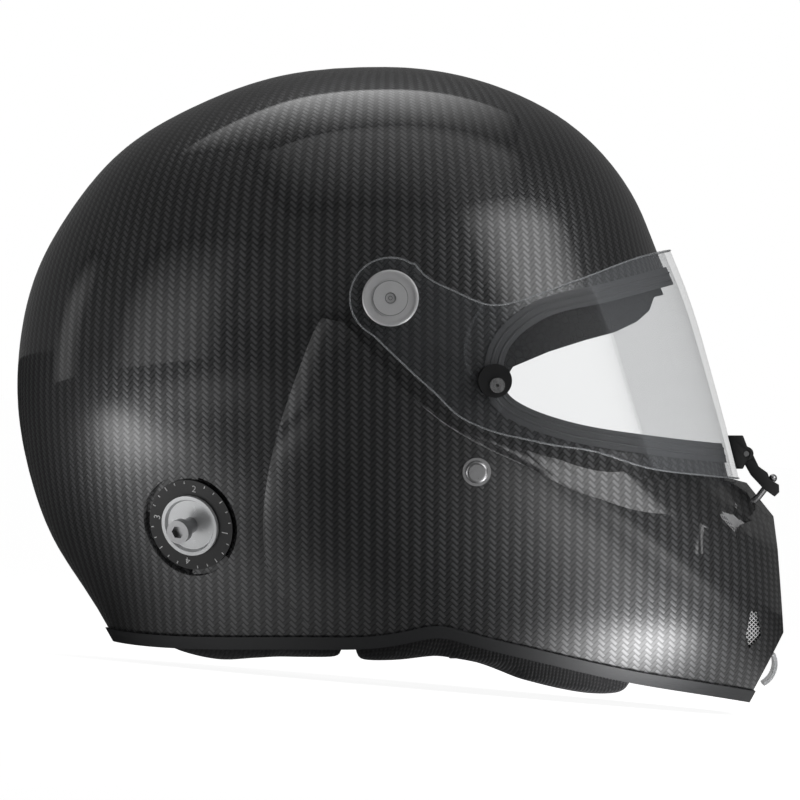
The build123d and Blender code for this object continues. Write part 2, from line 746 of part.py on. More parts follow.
# Tether anchors: a printed ring and a dished seat in the shell's recess, with the post through both
for name, side in sides.items():
    floor = anchor_planes[side].offset(-anchor_recess_depth)
    with BuildPart() as anchor_ring:
        with BuildSketch(floor):
            Circle(anchor_ring_radius)
            Circle(anchor_dish_radius + running_gap, mode=Mode.SUBTRACT)
        extrude(amount=anchor_ring_height)
    anchor_ring.part.label = f"anchor_ring_{name}"
    pieces.append(anchor_ring.part)

    with BuildPart() as anchor_dish:
        with BuildSketch(floor):
            Circle(anchor_dish_radius)
        extrude(amount=anchor_dish_height)
        with BuildSketch(floor.offset(anchor_dish_height)):
            Circle(anchor_dish_radius - anchor_dish_hollow)
        extrude(amount=-anchor_dish_hollow, mode=Mode.SUBTRACT, taper=overrun / 2)
        with BuildSketch(floor):
            Circle(anchor_shank_radius + running_gap)
        extrude(amount=anchor_dish_height, mode=Mode.SUBTRACT)
    anchor_dish.part.label = f"anchor_dish_{name}"
    pieces.append(anchor_dish.part)

    post_foot = floor.offset(anchor_dish_height - anchor_dish_hollow)
    with BuildPart() as anchor_post:
        with BuildSketch(post_foot):
            Circle(anchor_neck_radius)
        extrude(amount=anchor_post_height)
        with BuildSketch(post_foot.offset(anchor_post_height - anchor_head_height)):
            Circle(anchor_post_radius)
        extrude(amount=anchor_head_height)
        with BuildSketch(post_foot.offset(anchor_post_height)):
            RegularPolygon(anchor_socket_radius, 6)
        extrude(amount=-anchor_socket_depth, mode=Mode.SUBTRACT)
        with BuildSketch(post_foot):
            Circle(anchor_shank_radius)
        extrude(amount=anchor_recess_depth - anchor_boss_depth - anchor_nut_height - anchor_dish_height
                + anchor_dish_hollow)
    anchor_post.part.label = f"anchor_post_{name}"
    pieces.append(anchor_post.part)

    with BuildPart() as anchor_nut:
        with BuildSketch(anchor_planes[side].offset(-anchor_boss_depth)):
            Circle(anchor_nut_radius)
            Circle(anchor_shank_radius + running_gap, mode=Mode.SUBTRACT)
        extrude(amount=-anchor_nut_height)
    anchor_nut.part.label = f"anchor_nut_{name}"
    pieces.append(anchor_nut.part)

# Clear lip under the chin's front corner
with BuildPart() as chin_deflector:
    with BuildSketch(Plane.XZ):
        with BuildLine():
            ThreePointArc(
                place(deflector_top_shares), place(deflector_middle_shares), place(deflector_end_shares)
            )
        trace(line_width=deflector_thickness)
    extrude(amount=deflector_width / 2, both=True)
chin_deflector.part.label = "chin_deflector"
pieces.append(chin_deflector.part)

# Rubber channel pushed over the shell's lower edge
with BuildPart() as rim_trim:
    add(crown_form(rim_trim_lip))
    add(chin_form(rim_trim_lip))
    add(crown_form(-shell_wall - rim_trim_lip), mode=Mode.SUBTRACT)
    add(chin_form(-shell_wall - rim_trim_lip), mode=Mode.SUBTRACT)
    add(below_rim(rim_trim_height / 2), mode=Mode.INTERSECT)
    add(below_rim(-rim_trim_height / 2), mode=Mode.SUBTRACT)
    with BuildPart(mode=Mode.PRIVATE) as edge_slot:
        add(crown_form(seat_gap / 2))
        add(chin_form(seat_gap / 2))
        add(crown_form(-shell_wall - seat_gap / 2), mode=Mode.SUBTRACT)
        add(chin_form(-shell_wall - seat_gap / 2), mode=Mode.SUBTRACT)
        add(below_rim(-seat_gap / 2), mode=Mode.SUBTRACT)
    add(edge_slot.part, mode=Mode.SUBTRACT)
rim_trim.part.label = "rim_trim"
pieces.append(rim_trim.part)

# Rubber frame round the eyeport: a lip outside the shell, a web through it and a lip inside
with BuildPart() as eyeport_gasket:
    add(crown_form(gasket_lip + seat_gap / 2))
    add(crown_form(-shell_wall - gasket_lip), mode=Mode.SUBTRACT)
    add(grown_window(gasket_flange), mode=Mode.INTERSECT)
    add(grown_window(0), mode=Mode.SUBTRACT)
    with BuildPart(mode=Mode.PRIVATE) as wall_slot:
        add(crown_form(seat_gap / 2))
        add(crown_form(-shell_wall - seat_gap / 2), mode=Mode.SUBTRACT)
        add(grown_window(gasket_groove - seat_gap / 2), mode=Mode.SUBTRACT)
    add(wall_slot.part, mode=Mode.SUBTRACT)
    add(chin_form(seat_gap), mode=Mode.SUBTRACT)
eyeport_gasket.part.label = "eyeport_gasket"
pieces.append(eyeport_gasket.part)

# Lining: foam, comfort fabric, brow pad, cheek pads and neck roll
def head_form(grow):
    return form(places(head_shares), head_half_width + grow, grow)


with BuildPart() as pockets:
    for side in sides.values():
        with BuildSketch(anchor_planes[side]):
            Circle(anchor_boss_radius + seat_gap)
        extrude(amount=-anchor_boss_depth - seat_gap)
        with BuildSketch(anchor_planes[side]):
            Circle(anchor_nut_radius + seat_gap)
        extrude(amount=-anchor_boss_depth - anchor_nut_height - seat_gap)
        with BuildSketch(flank(side, inner_pole + shell_wall)):
            Circle(pivot_nut_radius + seat_gap)
        extrude(amount=-shell_wall - pivot_nut_height - seat_gap)

# The foam passes behind the gasket and hangs below the eyeport's upper edge, as the brow's padding
with BuildPart() as gasket_room:
    add(grown_window(gasket_flange + seat_gap))
    add(crown_form(-shell_wall - gasket_lip - seat_gap), mode=Mode.SUBTRACT)
with BuildPart() as crown_liner:
    add(crown_form(-shell_wall - seat_gap))
    add(side_prism(places(crown_edge_shares)), mode=Mode.INTERSECT)
    add(head_form(0), mode=Mode.SUBTRACT)
    add(gasket_room.part, mode=Mode.SUBTRACT)
    add(pockets.part, mode=Mode.SUBTRACT)
crown_liner.part.label = "crown_liner"
pieces.append(crown_liner.part)

brow_rear = brow_pad_rear_share * length
with BuildPart() as fabric_lining:
    add(head_form(-seat_gap))
    add(head_form(-comfort_thickness), mode=Mode.SUBTRACT)
    add(side_prism(places(crown_edge_shares)), mode=Mode.INTERSECT)
with BuildPart() as comfort_liner:
    add(fabric_lining.part)
    with BuildSketch(Plane.YZ.offset(brow_rear - seat_gap)):
        Rectangle(length, length)
    extrude(amount=length, mode=Mode.SUBTRACT)
comfort_liner.part.label = "comfort_liner"
pieces.append(comfort_liner.part)
with BuildPart() as brow_pad:
    add(fabric_lining.part)
    with BuildSketch(Plane.YZ.offset(brow_rear)):
        Rectangle(length, length)
    extrude(amount=-length, mode=Mode.SUBTRACT)
brow_pad.part.label = "brow_pad"
pieces.append(brow_pad.part)

with BuildPart() as strap_room:
    for name, side in sides.items():
        with BuildSketch(Plane.YZ.offset(strap_x)):
            with BuildLine():
                Spline(*strap_line(name))
            trace(line_width=strap_thickness + strap_slot_gap * 2)
        extrude(amount=strap_width / 2 + strap_slot_gap, both=True)
        with BuildSketch(rivet_planes[side]):
            Rectangle(hanger_width + strap_slot_gap * 2, hanger_height + strap_slot_gap * 2)
        extrude(amount=-shell_wall - hanger_seat - hanger_thickness - rivet_tail_height - strap_slot_gap)

with BuildPart() as pad_space:
    add(crown_form(-pad_inset))
    add(chin_form(-pad_inset))
with BuildPart() as cheek_pads:
    add(side_prism(places(cheek_pad_shares)))
    add(pad_space.part, mode=Mode.INTERSECT)
    add(form(places(face_shares), face_half_width), mode=Mode.SUBTRACT)
    add(grown_window(gasket_flange + seat_gap), mode=Mode.SUBTRACT)
    add(strap_room.part, mode=Mode.SUBTRACT)
for name, side in sides.items():
    with BuildPart() as cheek_pad:
        add(cheek_pads.part.solids().sort_by(Axis.Y)[-1 if side > 0 else 0])
    cheek_pad.part.label = f"cheek_pad_{name}"
    pieces.append(cheek_pad.part)

with BuildPart() as neck_roll:
    add(side_prism(places(neck_roll_shares)))
    add(pad_space.part, mode=Mode.INTERSECT)
    add(head_form(-comfort_thickness), mode=Mode.SUBTRACT)
    add(pockets.part, mode=Mode.SUBTRACT)
neck_roll.part.label = "neck_roll"
pieces.append(neck_roll.part)

with BuildPart() as chin_liner:
    add(chin_form(-shell_wall - seat_gap))
    with BuildSketch(Plane.XZ):
        with Locations((chin_liner_rear_share * length, chin_liner_top_share * height)):
            Rectangle(length, height, align=(Align.MIN, Align.MAX))
    extrude(amount=length, both=True, mode=Mode.INTERSECT)
    lining_depth = shell_wall + chin_liner_thickness
    add(form(chin_outline, half_width + cheek_swell - lining_depth, -lining_depth), mode=Mode.SUBTRACT)
    add(below_rim(rim_trim_height / 2 + seat_gap), mode=Mode.SUBTRACT)
    add(grown_window(gasket_flange + seat_gap), mode=Mode.SUBTRACT)
    add(latch_stud.part, mode=Mode.SUBTRACT)
chin_liner.part.label = "chin_liner"
pieces.append(chin_liner.part)

# Mesh plates in the chin vents
with BuildPart() as mesh_layer:
    add(chin_form(-mesh_depth))
    add(chin_form(-mesh_depth - mesh_thickness), mode=Mode.SUBTRACT)
for name, side in sides.items():
    with BuildPart() as upper_vent_mesh:
        add(upper_vent_prism(-mesh_clearance, side))
        add(mesh_layer.part, mode=Mode.INTERSECT)
    upper_vent_mesh.part.label = f"upper_vent_mesh_{name}"
    pieces.append(upper_vent_mesh.part)
    with BuildPart() as lower_vent_mesh:
        add(lower_vent_prism(-mesh_clearance, side))
        add(mesh_layer.part, mode=Mode.INTERSECT)
    lower_vent_mesh.part.label = f"lower_vent_mesh_{name}"
    pieces.append(lower_vent_mesh.part)

# Lean the level helmet back onto its resting points, and put the origin under its middle. The
# meshed pieces give the extent, because a trimmed surface's own box can reach past its edges.
rest_rear, rest_front = place(rest_rear_shares), place(rest_front_shares)
rest_tilt = math.degrees(math.atan2(rest_rear[1] - rest_front[1], rest_front[0] - rest_rear[0]))
tilted = [Rotation(0, -rest_tilt, 0) * piece for piece in pieces]
corners = [corner for piece in tilted for corner in piece.tessellate(extent_tolerance)[0]]
middle_x = (min(corner.X for corner in corners) + max(corner.X for corner in corners)) / 2
stand = Pos(-middle_x, 0, -min(corner.Z for corner in corners))
for worn, piece in zip(pieces, tilted):
    export_step(stand * piece, f"parts/{worn.label}.step")
    print(worn.label, round(piece.volume), len(piece.solids()))

settled = stand * Rotation(0, -rest_tilt, 0)
for label, spot in {
    "pivot": (0, 0, 0), "latch pin": (latch_x, 0, latch_z),
    "upper ring bar": (strap_x, ring_y, ring_z + ring_pitch / 2),
    "lower ring bar": (strap_x, ring_y, ring_z - ring_pitch / 2),
}.items():
    print(label, "at", (settled * Pos(*spot)).position)
for name, side in sides.items():
    for label, planes in {"tear-off": tear_off_planes, "anchor": anchor_planes}.items():
        lying = settled * planes[side].location
        print(label, name, "at", lying.position, "facing", Plane(lying).z_dir)
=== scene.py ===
"""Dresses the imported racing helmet: woven shell, clear visor, rubber edges, padding and metal fittings."""

import json
import logging
import math
from dataclasses import dataclass
from enum import Enum
from typing import Any, Iterable, Sequence

import bmesh
import bpy
import numpy as np
from mathutils import Matrix, Vector
from mathutils.bvhtree import BVHTree

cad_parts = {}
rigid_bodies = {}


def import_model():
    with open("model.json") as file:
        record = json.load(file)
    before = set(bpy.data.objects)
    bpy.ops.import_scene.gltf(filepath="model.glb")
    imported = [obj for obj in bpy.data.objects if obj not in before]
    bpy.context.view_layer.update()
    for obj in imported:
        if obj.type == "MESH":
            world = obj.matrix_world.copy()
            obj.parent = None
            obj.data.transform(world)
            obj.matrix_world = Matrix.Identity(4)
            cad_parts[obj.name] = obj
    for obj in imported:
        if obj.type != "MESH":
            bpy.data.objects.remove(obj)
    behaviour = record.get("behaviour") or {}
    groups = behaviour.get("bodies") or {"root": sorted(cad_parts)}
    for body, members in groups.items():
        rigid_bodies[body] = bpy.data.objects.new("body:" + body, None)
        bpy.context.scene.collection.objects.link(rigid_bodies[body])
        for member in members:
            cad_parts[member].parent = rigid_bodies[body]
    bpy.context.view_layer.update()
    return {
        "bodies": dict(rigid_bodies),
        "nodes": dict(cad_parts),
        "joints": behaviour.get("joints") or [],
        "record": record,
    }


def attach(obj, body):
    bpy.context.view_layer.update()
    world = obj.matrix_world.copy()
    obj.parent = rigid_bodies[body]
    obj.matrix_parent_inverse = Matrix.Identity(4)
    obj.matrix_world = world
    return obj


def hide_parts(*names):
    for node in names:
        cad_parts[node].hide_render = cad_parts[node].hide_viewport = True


LOG = logging.getLogger("helmet")
MM = 0.001
TINY = 1e-12
Pair = tuple[float, float]
Triple = tuple[float, float, float]

# The shell's driving sizes, in millimetres, in the level frame that is centred on the visor pivot
LENGTH = 348.0
HEIGHT = 287.0
HALF_WIDTH = 124.5
CHEEK_SWELL = 4.0
SHELL_WALL = 3.5
FULLNESS = 2.3
# From the shell's skin out to where the record sets a tether post's mount
MOUNT_HEIGHT = 9.6
CROWN_SHARES: tuple[Pair, ...] = (
    (-0.007, 0.369), (0.096, 0.354), (0.157, 0.330), (0.229, 0.283), (0.291, 0.211), (0.327, 0.140),
    (0.348, 0.076), (0.366, 0.024), (0.401, -0.105), (0.432, -0.237), (0.450, -0.330), (0.460, -0.430),
    (0.452, -0.545), (0.408, -0.662), (0.316, -0.760), (0.172, -0.822), (0.000, -0.836), (-0.150, -0.800),
    (-0.255, -0.705), (-0.330, -0.600), (-0.389, -0.478), (-0.439, -0.383), (-0.469, -0.288),
    (-0.487, -0.169), (-0.485, -0.074), (-0.462, 0.045), (-0.419, 0.140), (-0.352, 0.235),
    (-0.257, 0.306), (-0.147, 0.354),
)
CHIN_SHARES: tuple[Pair, ...] = (
    (0.000, 0.190), (0.095, 0.175), (0.210, 0.140), (0.339, 0.073), (0.420, -0.050), (0.465, -0.150),
    (0.495, -0.240), (0.5115, -0.345), (0.518, -0.435), (0.516, -0.530), (0.497, -0.620), (0.430, -0.720),
    (0.302, -0.798), (0.158, -0.836), (0.000, -0.829), (-0.160, -0.750), (-0.279, -0.589),
    (-0.305, -0.369), (-0.287, -0.199), (-0.250, -0.080), (-0.201, 0.000), (-0.150, 0.105), (-0.078, 0.167),
)
WINDOW_SHARES: tuple[Pair, ...] = (
    (0.480, 0.058), (0.384, 0.029), (0.318, 0.007), (0.270, -0.008), (0.206, -0.027), (0.175, -0.049),
    (0.152, -0.080), (0.145, -0.116), (0.150, -0.146), (0.170, -0.166), (0.206, -0.184), (0.245, -0.197),
    (0.314, -0.211), (0.401, -0.224), (0.500, -0.234),
)
STRAP_DROP_SHARES: tuple[Pair, ...] = (
    (0.924, -0.255), (0.905, -0.310), (0.868, -0.385), (0.790, -0.455), (0.660, -0.520),
)

# A CAD face lies on a rounded form if it is near and aligned with it, or if it touches it and isn't turned
# away. Lengths are in millimetres, and an alignment of 1 is exact.
SHARP_ANGLE = 26.0
SKIN_REACH = 0.8
RUBBER_REACH = 1.2
ALIGNED = 0.94
TOUCHING = 0.08
NOT_TURNED_AWAY = 0.2
CLEARLY_SIDED = 0.5


class Side(Enum):
    """The wearer's two sides, with the sign of Y on each."""

    RIGHT = -1
    LEFT = 1

    @property
    def word(self) -> str:
        """The side's name as the nodes spell it."""
        return self.name.lower()


def places(shares: Iterable[Pair]) -> np.ndarray:
    """Turns shares of the length and height into level-frame millimetres."""
    return np.array([(x * LENGTH, z * HEIGHT) for x, z in shares])


@dataclass(frozen=True)
class Worn:
    """The level frame in which the helmet is worn: millimetres from the visor pivot, X forward and Z up."""

    pivot: Vector
    lean: float

    @classmethod
    def read(cls, joints: Sequence[dict]) -> "Worn":
        """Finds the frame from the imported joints.


        Returns:
            The level frame, from the visor's pivot and the direction of a strap ring's bar.
        """
        by_name = {joint["name"]: joint for joint in joints}
        bar = by_name["d_ring_lower_swing"]["axis"]
        return cls(Vector(by_name["visor_lift"]["pos_m"]), math.atan2(bar[2], bar[0]))

    @property
    def matrix(self) -> Matrix:
        """The matrix from level millimetres to metres in the row's frame."""
        return Matrix.Translation(self.pivot) @ Matrix.Rotation(-self.lean, 4, "Y") @ Matrix.Scale(MM, 4)

    def to_row(self, points: np.ndarray) -> np.ndarray:
        """Moves level-frame points into the row's frame."""
        grid = np.array(self.matrix)
        return np.asarray(points, dtype=float) @ grid[:3, :3].T + grid[:3, 3]

    def to_level(self, points: np.ndarray) -> np.ndarray:
        """Moves points of the row's frame into the level frame."""
        grid = np.array(self.matrix.inverted())
        return np.asarray(points, dtype=float) @ grid[:3, :3].T + grid[:3, 3]

    def turn(self, directions: np.ndarray) -> np.ndarray:
        """Turns level-frame directions into the row's frame, at unit length."""
        turned = np.asarray(directions, dtype=float) @ np.array(self.matrix)[:3, :3].T
        return turned / np.maximum(np.linalg.norm(turned, axis=1, keepdims=True), TINY)


def closed_spline(points: np.ndarray, steps: int = 40) -> np.ndarray:
    """Samples the smooth closed cubic curve through some points.

    Args:
        points: The points in order, one row each.
        steps: How many samples each span gets.

    Returns:
        The samples, one row each.
    """
    count = len(points)
    ahead = np.roll(points, -1, axis=0)
    chords = np.linalg.norm(ahead - points, axis=1)
    system = np.zeros((count, count))
    right = np.zeros_like(points)
    for here in range(count):
        before, after = chords[here - 1], chords[here]
        system[here, here - 1] += after
        system[here, here] += 2 * (before + after)
        system[here, (here + 1) % count] += before
        right[here] = 3 * (
            after / before * (points[here] - points[here - 1]) + before / after * (ahead[here] - points[here])
        )
    slopes = np.linalg.solve(system, right)
    samples = []
    for here in range(count):
        there = (here + 1) % count
        for t in np.arange(steps) / steps:
            samples.append(
                (2 * t**3 - 3 * t**2 + 1) * points[here]
                + (t**3 - 2 * t**2 + t) * chords[here] * slopes[here]
                + (3 * t**2 - 2 * t**3) * points[there]
                + (t**3 - t**2) * chords[here] * slopes[there]
            )
    return np.array(samples)


def open_spline(points: Sequence[Sequence[float]], steps: int = 12) -> np.ndarray:
    """Samples a smooth open curve through some points.

    Args:
        points: The points in order.
        steps: How many samples each span gets.

    Returns:
        The samples, with both ends.
    """
    given = np.array(points, dtype=float)
    padded = np.vstack([2 * given[0] - given[1], given, 2 * given[-1] - given[-2]])
    samples = []
    for here in range(1, len(padded) - 2):
        p0, p1, p2, p3 = padded[here - 1:here + 3]
        for t in np.arange(steps) / steps:
            samples.append(
                0.5 * (2 * p1 + (p2 - p0) * t + (2 * p0 - 5 * p1 + 4 * p2 - p3) * t**2
                       + (3 * p1 - p0 - 3 * p2 + p3) * t**3)
            )
    samples.append(padded[-2])
    return np.array(samples)


class RoundedForm:
    """The helmet's rule: a side outline that shrinks about the pivot axis towards both flanks."""

    probe = 0.6
    arc_steps = 240
    size_steps = 24

    def __init__(self, outline: np.ndarray, flank: float, grow: float = 0.0) -> None:
        """Prepares the rule.

        Args:
            outline: The side outline in level millimetres.
            flank: Half the width.
            grow: How far the outline is moved out from the pivot.
        """
        curve = closed_spline(outline)
        angles = np.arctan2(curve[:, 1], curve[:, 0])
        order = np.argsort(angles)
        self._angles = angles[order]
        self._radii = np.hypot(curve[:, 0], curve[:, 1])[order] + grow
        self.flank = flank

    def radius(self, angle: np.ndarray) -> np.ndarray:
        """How far the outline is from the pivot in each direction."""
        return np.interp(angle, self._angles, self._radii, period=2 * math.pi)

    def value(self, points: np.ndarray) -> np.ndarray:
        """Tells the inside of the form from the outside.

        Args:
            points: Level-frame points.

        Returns:
            One value a point: less than 0 inside the form, 0 on its surface.
        """
        x, y, z = points.T
        share = np.hypot(x, z) / self.radius(np.arctan2(z, x))
        return np.abs(y / self.flank) ** FULLNESS + share**FULLNESS - 1

    def normals(self, points: np.ndarray) -> np.ndarray:
        """The surface's outward directions at some points.

        Args:
            points: Level-frame points.

        Returns:
            The directions, not brought to unit length.
        """
        grads = []
        for axis in range(3):
            shift = np.zeros(3)
            shift[axis] = self.probe
            grads.append(self.value(points + shift) - self.value(points - shift))
        return np.array(grads).T

    def distance(self, points: np.ndarray) -> np.ndarray:
        """Roughly how far each point is from the surface, in millimetres."""
        grads = np.linalg.norm(self.normals(points), axis=1) / (2 * self.probe)
        return np.abs(self.value(points)) / np.maximum(grads, TINY)

    def on_surface(self, spots: np.ndarray, side: Side) -> np.ndarray:
        """Lifts side-view places onto one flank.

        Args:
            spots: Level-frame X and Z of each place.
            side: The flank.

        Returns:
            The level-frame points.
        """
        x, z = np.asarray(spots, dtype=float).T
        share = np.minimum(np.hypot(x, z) / self.radius(np.arctan2(z, x)), 1.0)
        y = side.value * self.flank * (1 - share**FULLNESS) ** (1 / FULLNESS)
        return np.stack([x, y, z], axis=1)

    def cloth(self, points: np.ndarray) -> np.ndarray:
        """Where each point lies on cloth that is smoothed out from the pivot's pole.

        Args:
            points: Level-frame points on or near the surface.

        Returns:
            Millimetres along and up the cloth.
        """
        x, _, z = points.T
        angle = np.arctan2(z, x)
        reach = self.radius(angle)
        share = np.clip(np.hypot(x, z) / reach, 0, 1)
        bend = np.linspace(0, math.pi / 2, self.arc_steps)
        across = np.sin(bend) ** (2 / FULLNESS)
        up = np.cos(bend) ** (2 / FULLNESS)
        sizes = np.linspace(self._radii.min(), self._radii.max(), self.size_steps)
        run = []
        for size in sizes:
            steps = np.hypot(np.diff(across) * size, np.diff(up) * self.flank)
            length = np.concatenate([[0], np.cumsum(steps)])
            run.append(np.interp(share, across, length))
        place = np.interp(reach, sizes, np.arange(len(sizes)))
        low = np.clip(place.astype(int), 0, len(sizes) - 2)
        part = place - low
        table = np.array(run)
        rows = np.arange(len(points))
        arc = table[low, rows] * (1 - part) + table[low + 1, rows] * part
        return np.stack([arc * np.cos(angle), arc * np.sin(angle)], axis=1)


class Wire:
    """One value in a material's nodes, with arithmetic that adds Math nodes."""

    def __init__(self, sheet: "Sheet", socket: bpy.types.NodeSocket) -> None:
        """Keeps the sheet and the socket that the value leaves by."""
        self.sheet = sheet
        self.socket = socket

    def maths(self, operation: str, *others: Any) -> "Wire":
        """Adds one Math node.

        Args:
            operation: The Math node's operation.
            others: The second and third values.

        Returns:
            The result.
        """
        return self.sheet.maths(operation, self, *others)

    def __add__(self, other: Any) -> "Wire":
        """Self plus other."""
        return self.maths("ADD", other)

    def __radd__(self, other: Any) -> "Wire":
        """Other plus self."""
        return self.maths("ADD", other)

    def __sub__(self, other: Any) -> "Wire":
        """Self minus other."""
        return self.maths("SUBTRACT", other)

    def __rsub__(self, other: Any) -> "Wire":
        """Other minus self."""
        return self.sheet.maths("SUBTRACT", other, self)

    def __mul__(self, other: Any) -> "Wire":
        """Self times other."""
        return self.maths("MULTIPLY", other)

    def __rmul__(self, other: Any) -> "Wire":
        """Other times self."""
        return self.maths("MULTIPLY", other)

    def __truediv__(self, other: Any) -> "Wire":
        """Self over other."""
        return self.maths("DIVIDE", other)

    def __pow__(self, other: Any) -> "Wire":
        """Self to a power."""
        return self.maths("POWER", other)

    def fraction(self) -> "Wire":
        """What is left after the whole number."""
        return self.maths("FRACT")

    def whole(self) -> "Wire":
        """The whole number below."""
        return self.maths("FLOOR")

    def size(self) -> "Wire":
        """The value without its sign."""
        return self.maths("ABSOLUTE")

    def sine(self) -> "Wire":
        """The sine of the value."""
        return self.maths("SINE")

    def wave(self, pitch: float) -> "Wire":
        """A wave from 0 to 1 that repeats with a pitch."""
        return (self * (math.tau / pitch)).sine() * 0.5 + 0.5

    def over(self, limit: Any) -> "Wire":
        """1 where the value is over a limit, else 0."""
        return self.maths("GREATER_THAN", limit)

    def cycle(self, period: float) -> "Wire":
        """The value's place in a repeating span, from 0."""
        return self.maths("FLOORED_MODULO", period)

    def rise(self, low: float, high: float) -> "Wire":
        """Goes smoothly from 0 at one value to 1 at another.

        Args:
            low: The value that gives 0.
            high: The value that gives 1.

        Returns:
            The share.
        """
        node = self.sheet.add(
            "ShaderNodeMapRange", {"interpolation_type": "SMOOTHSTEP"},
            {"Value": self, "From Min": low, "From Max": high},
        )
        return Wire(self.sheet, node.outputs["Result"])


class Sheet:
    """A material's node tree and the one method that adds nodes to it."""

    def __init__(self, name: str) -> None:
        """Starts a material with an empty tree.

        Args:
            name: The material's name.
        """
        self.material = bpy.data.materials.new(name)
        self.material.use_nodes = True
        self.tree = self.material.node_tree
        self.tree.nodes.clear()

    def add(self, kind: str, settings: dict[str, Any], inputs: dict[Any, Any]) -> bpy.types.Node:
        """Adds one node.

        Args:
            kind: The node's type.
            settings: Properties, set before the sockets.
            inputs: Values or wires, by the socket's name or number.

        Returns:
            The node.
        """
        node = self.tree.nodes.new(kind)
        for key, value in settings.items():
            setattr(node, key, value)
        for key, value in inputs.items():
            self.join(value, node.inputs[key])
        return node

    def join(self, value: Any, socket: bpy.types.NodeSocket) -> None:
        """Links a wire to a socket, or sets the socket's value.

        Args:
            value: A wire, or a plain value.
            socket: The socket of a node in this tree.
        """
        if isinstance(value, Wire):
            self.tree.links.new(value.socket, socket)
        else:
            socket.default_value = value

    def maths(self, operation: str, *values: Any) -> Wire:
        """Adds a Math node on some values."""
        node = self.add("ShaderNodeMath", {"operation": operation}, dict(enumerate(values)))
        return Wire(self, node.outputs[0])

    def place(self) -> Wire:
        """The point on the piece, in metres."""
        return Wire(self, self.add("ShaderNodeTexCoord", {}, {}).outputs["Object"])

    def split(self, vector: Wire) -> tuple[Wire, Wire, Wire]:
        """A vector's three numbers."""
        node = self.add("ShaderNodeSeparateXYZ", {}, {0: vector})
        return tuple(Wire(self, socket) for socket in node.outputs)

    def flat(self) -> tuple[Wire, Wire, Wire]:
        """The three numbers of the piece's cloth UV map."""
        return self.split(Wire(self, self.add("ShaderNodeUVMap", {"uv_map": "cloth"}, {}).outputs[0]))

    def local(self, frame: Matrix) -> tuple[Wire, Wire, Wire]:
        """The point's three numbers in a frame of its own, in millimetres.

        Args:
            frame: The matrix from that frame to the row's.

        Returns:
            The numbers along the frame's axes.
        """
        point = self.place()
        inverse = frame.inverted()
        along = []
        for row in range(3):
            dot = self.add(
                "ShaderNodeVectorMath", {"operation": "DOT_PRODUCT"}, {0: point, 1: tuple(inverse[row][:3])}
            )
            along.append(Wire(self, dot.outputs["Value"]) + inverse[row][3])
        return tuple(along)

    def noise(self, scale: float, detail: float = 2.0, where: Wire | None = None) -> Wire:
        """Cloudy variation from 0 to 1.

        Args:
            scale: How many cells there are in a metre.
            detail: How many finer layers are added.
            where: Where it is read, and in the object's own place if not given.

        Returns:
            The variation.
        """
        node = self.add(
            "ShaderNodeTexNoise", {}, {"Vector": where or self.place(), "Scale": scale, "Detail": detail}
        )
        return Wire(self, node.outputs["Fac"])

    def between(self, share: Wire, first: Triple, second: Triple) -> Wire:
        """A colour between two.

        Args:
            share: 0 for the first colour, 1 for the second.
            first: The first colour.
            second: The second colour.

        Returns:
            The colour.
        """
        node = self.add(
            "ShaderNodeMix", {"data_type": "RGBA"}, {0: share, 6: (*first, 1.0), 7: (*second, 1.0)}
        )
        return Wire(self, node.outputs[2])

    def bump(self, height: Wire, depth: float, strength: float = 1.0) -> Wire:
        """A normal bent by a height.

        Args:
            height: The height, where 1 stands for the full depth.
            depth: That depth in metres.
            strength: How much of the effect shows.

        Returns:
            The normal.
        """
        node = self.add(
            "ShaderNodeBump", {}, {"Height": height, "Distance": depth, "Strength": strength}
        )
        return Wire(self, node.outputs["Normal"])

    def surface(self, **inputs: Any) -> bpy.types.Material:
        """Ends the tree in one Principled surface.

        Args:
            inputs: Socket values or wires, with underscores for the spaces in their names.

        Returns:
            The material.
        """
        shader = self.principled(**inputs)
        self.add("ShaderNodeOutputMaterial", {}, {"Surface": shader})
        return self.material

    def mixed(self, share: Wire, first: Wire, second: Wire) -> bpy.types.Material:
        """Ends the tree in a mix of two shaders.

        Args:
            share: How much of the second one shows.
            first: The first shader.
            second: The second shader.

        Returns:
            The material.
        """
        mix = self.add("ShaderNodeMixShader", {}, {0: share, 1: first, 2: second})
        self.add("ShaderNodeOutputMaterial", {}, {"Surface": Wire(self, mix.outputs[0])})
        return self.material

    def principled(self, **inputs: Any) -> Wire:
        """Adds one Principled shader.

        Args:
            inputs: Socket values or wires, with underscores for the spaces in their names.

        Returns:
            The shader.
        """
        named = {}
        for key, value in inputs.items():
            socket = key.replace("_", " ")
            is_colour = socket in ("Base Color", "Coat Tint", "Sheen Tint", "Emission Color")
            named[socket] = (*value, 1.0) if is_colour and not isinstance(value, Wire) else value
        node = self.add("ShaderNodeBsdfPrincipled", {}, named)
        return Wire(self, node.outputs[0])


def shade(colour: Triple, share: float) -> Triple:
    """A colour at some share of its brightness."""
    return tuple(share * part for part in colour)


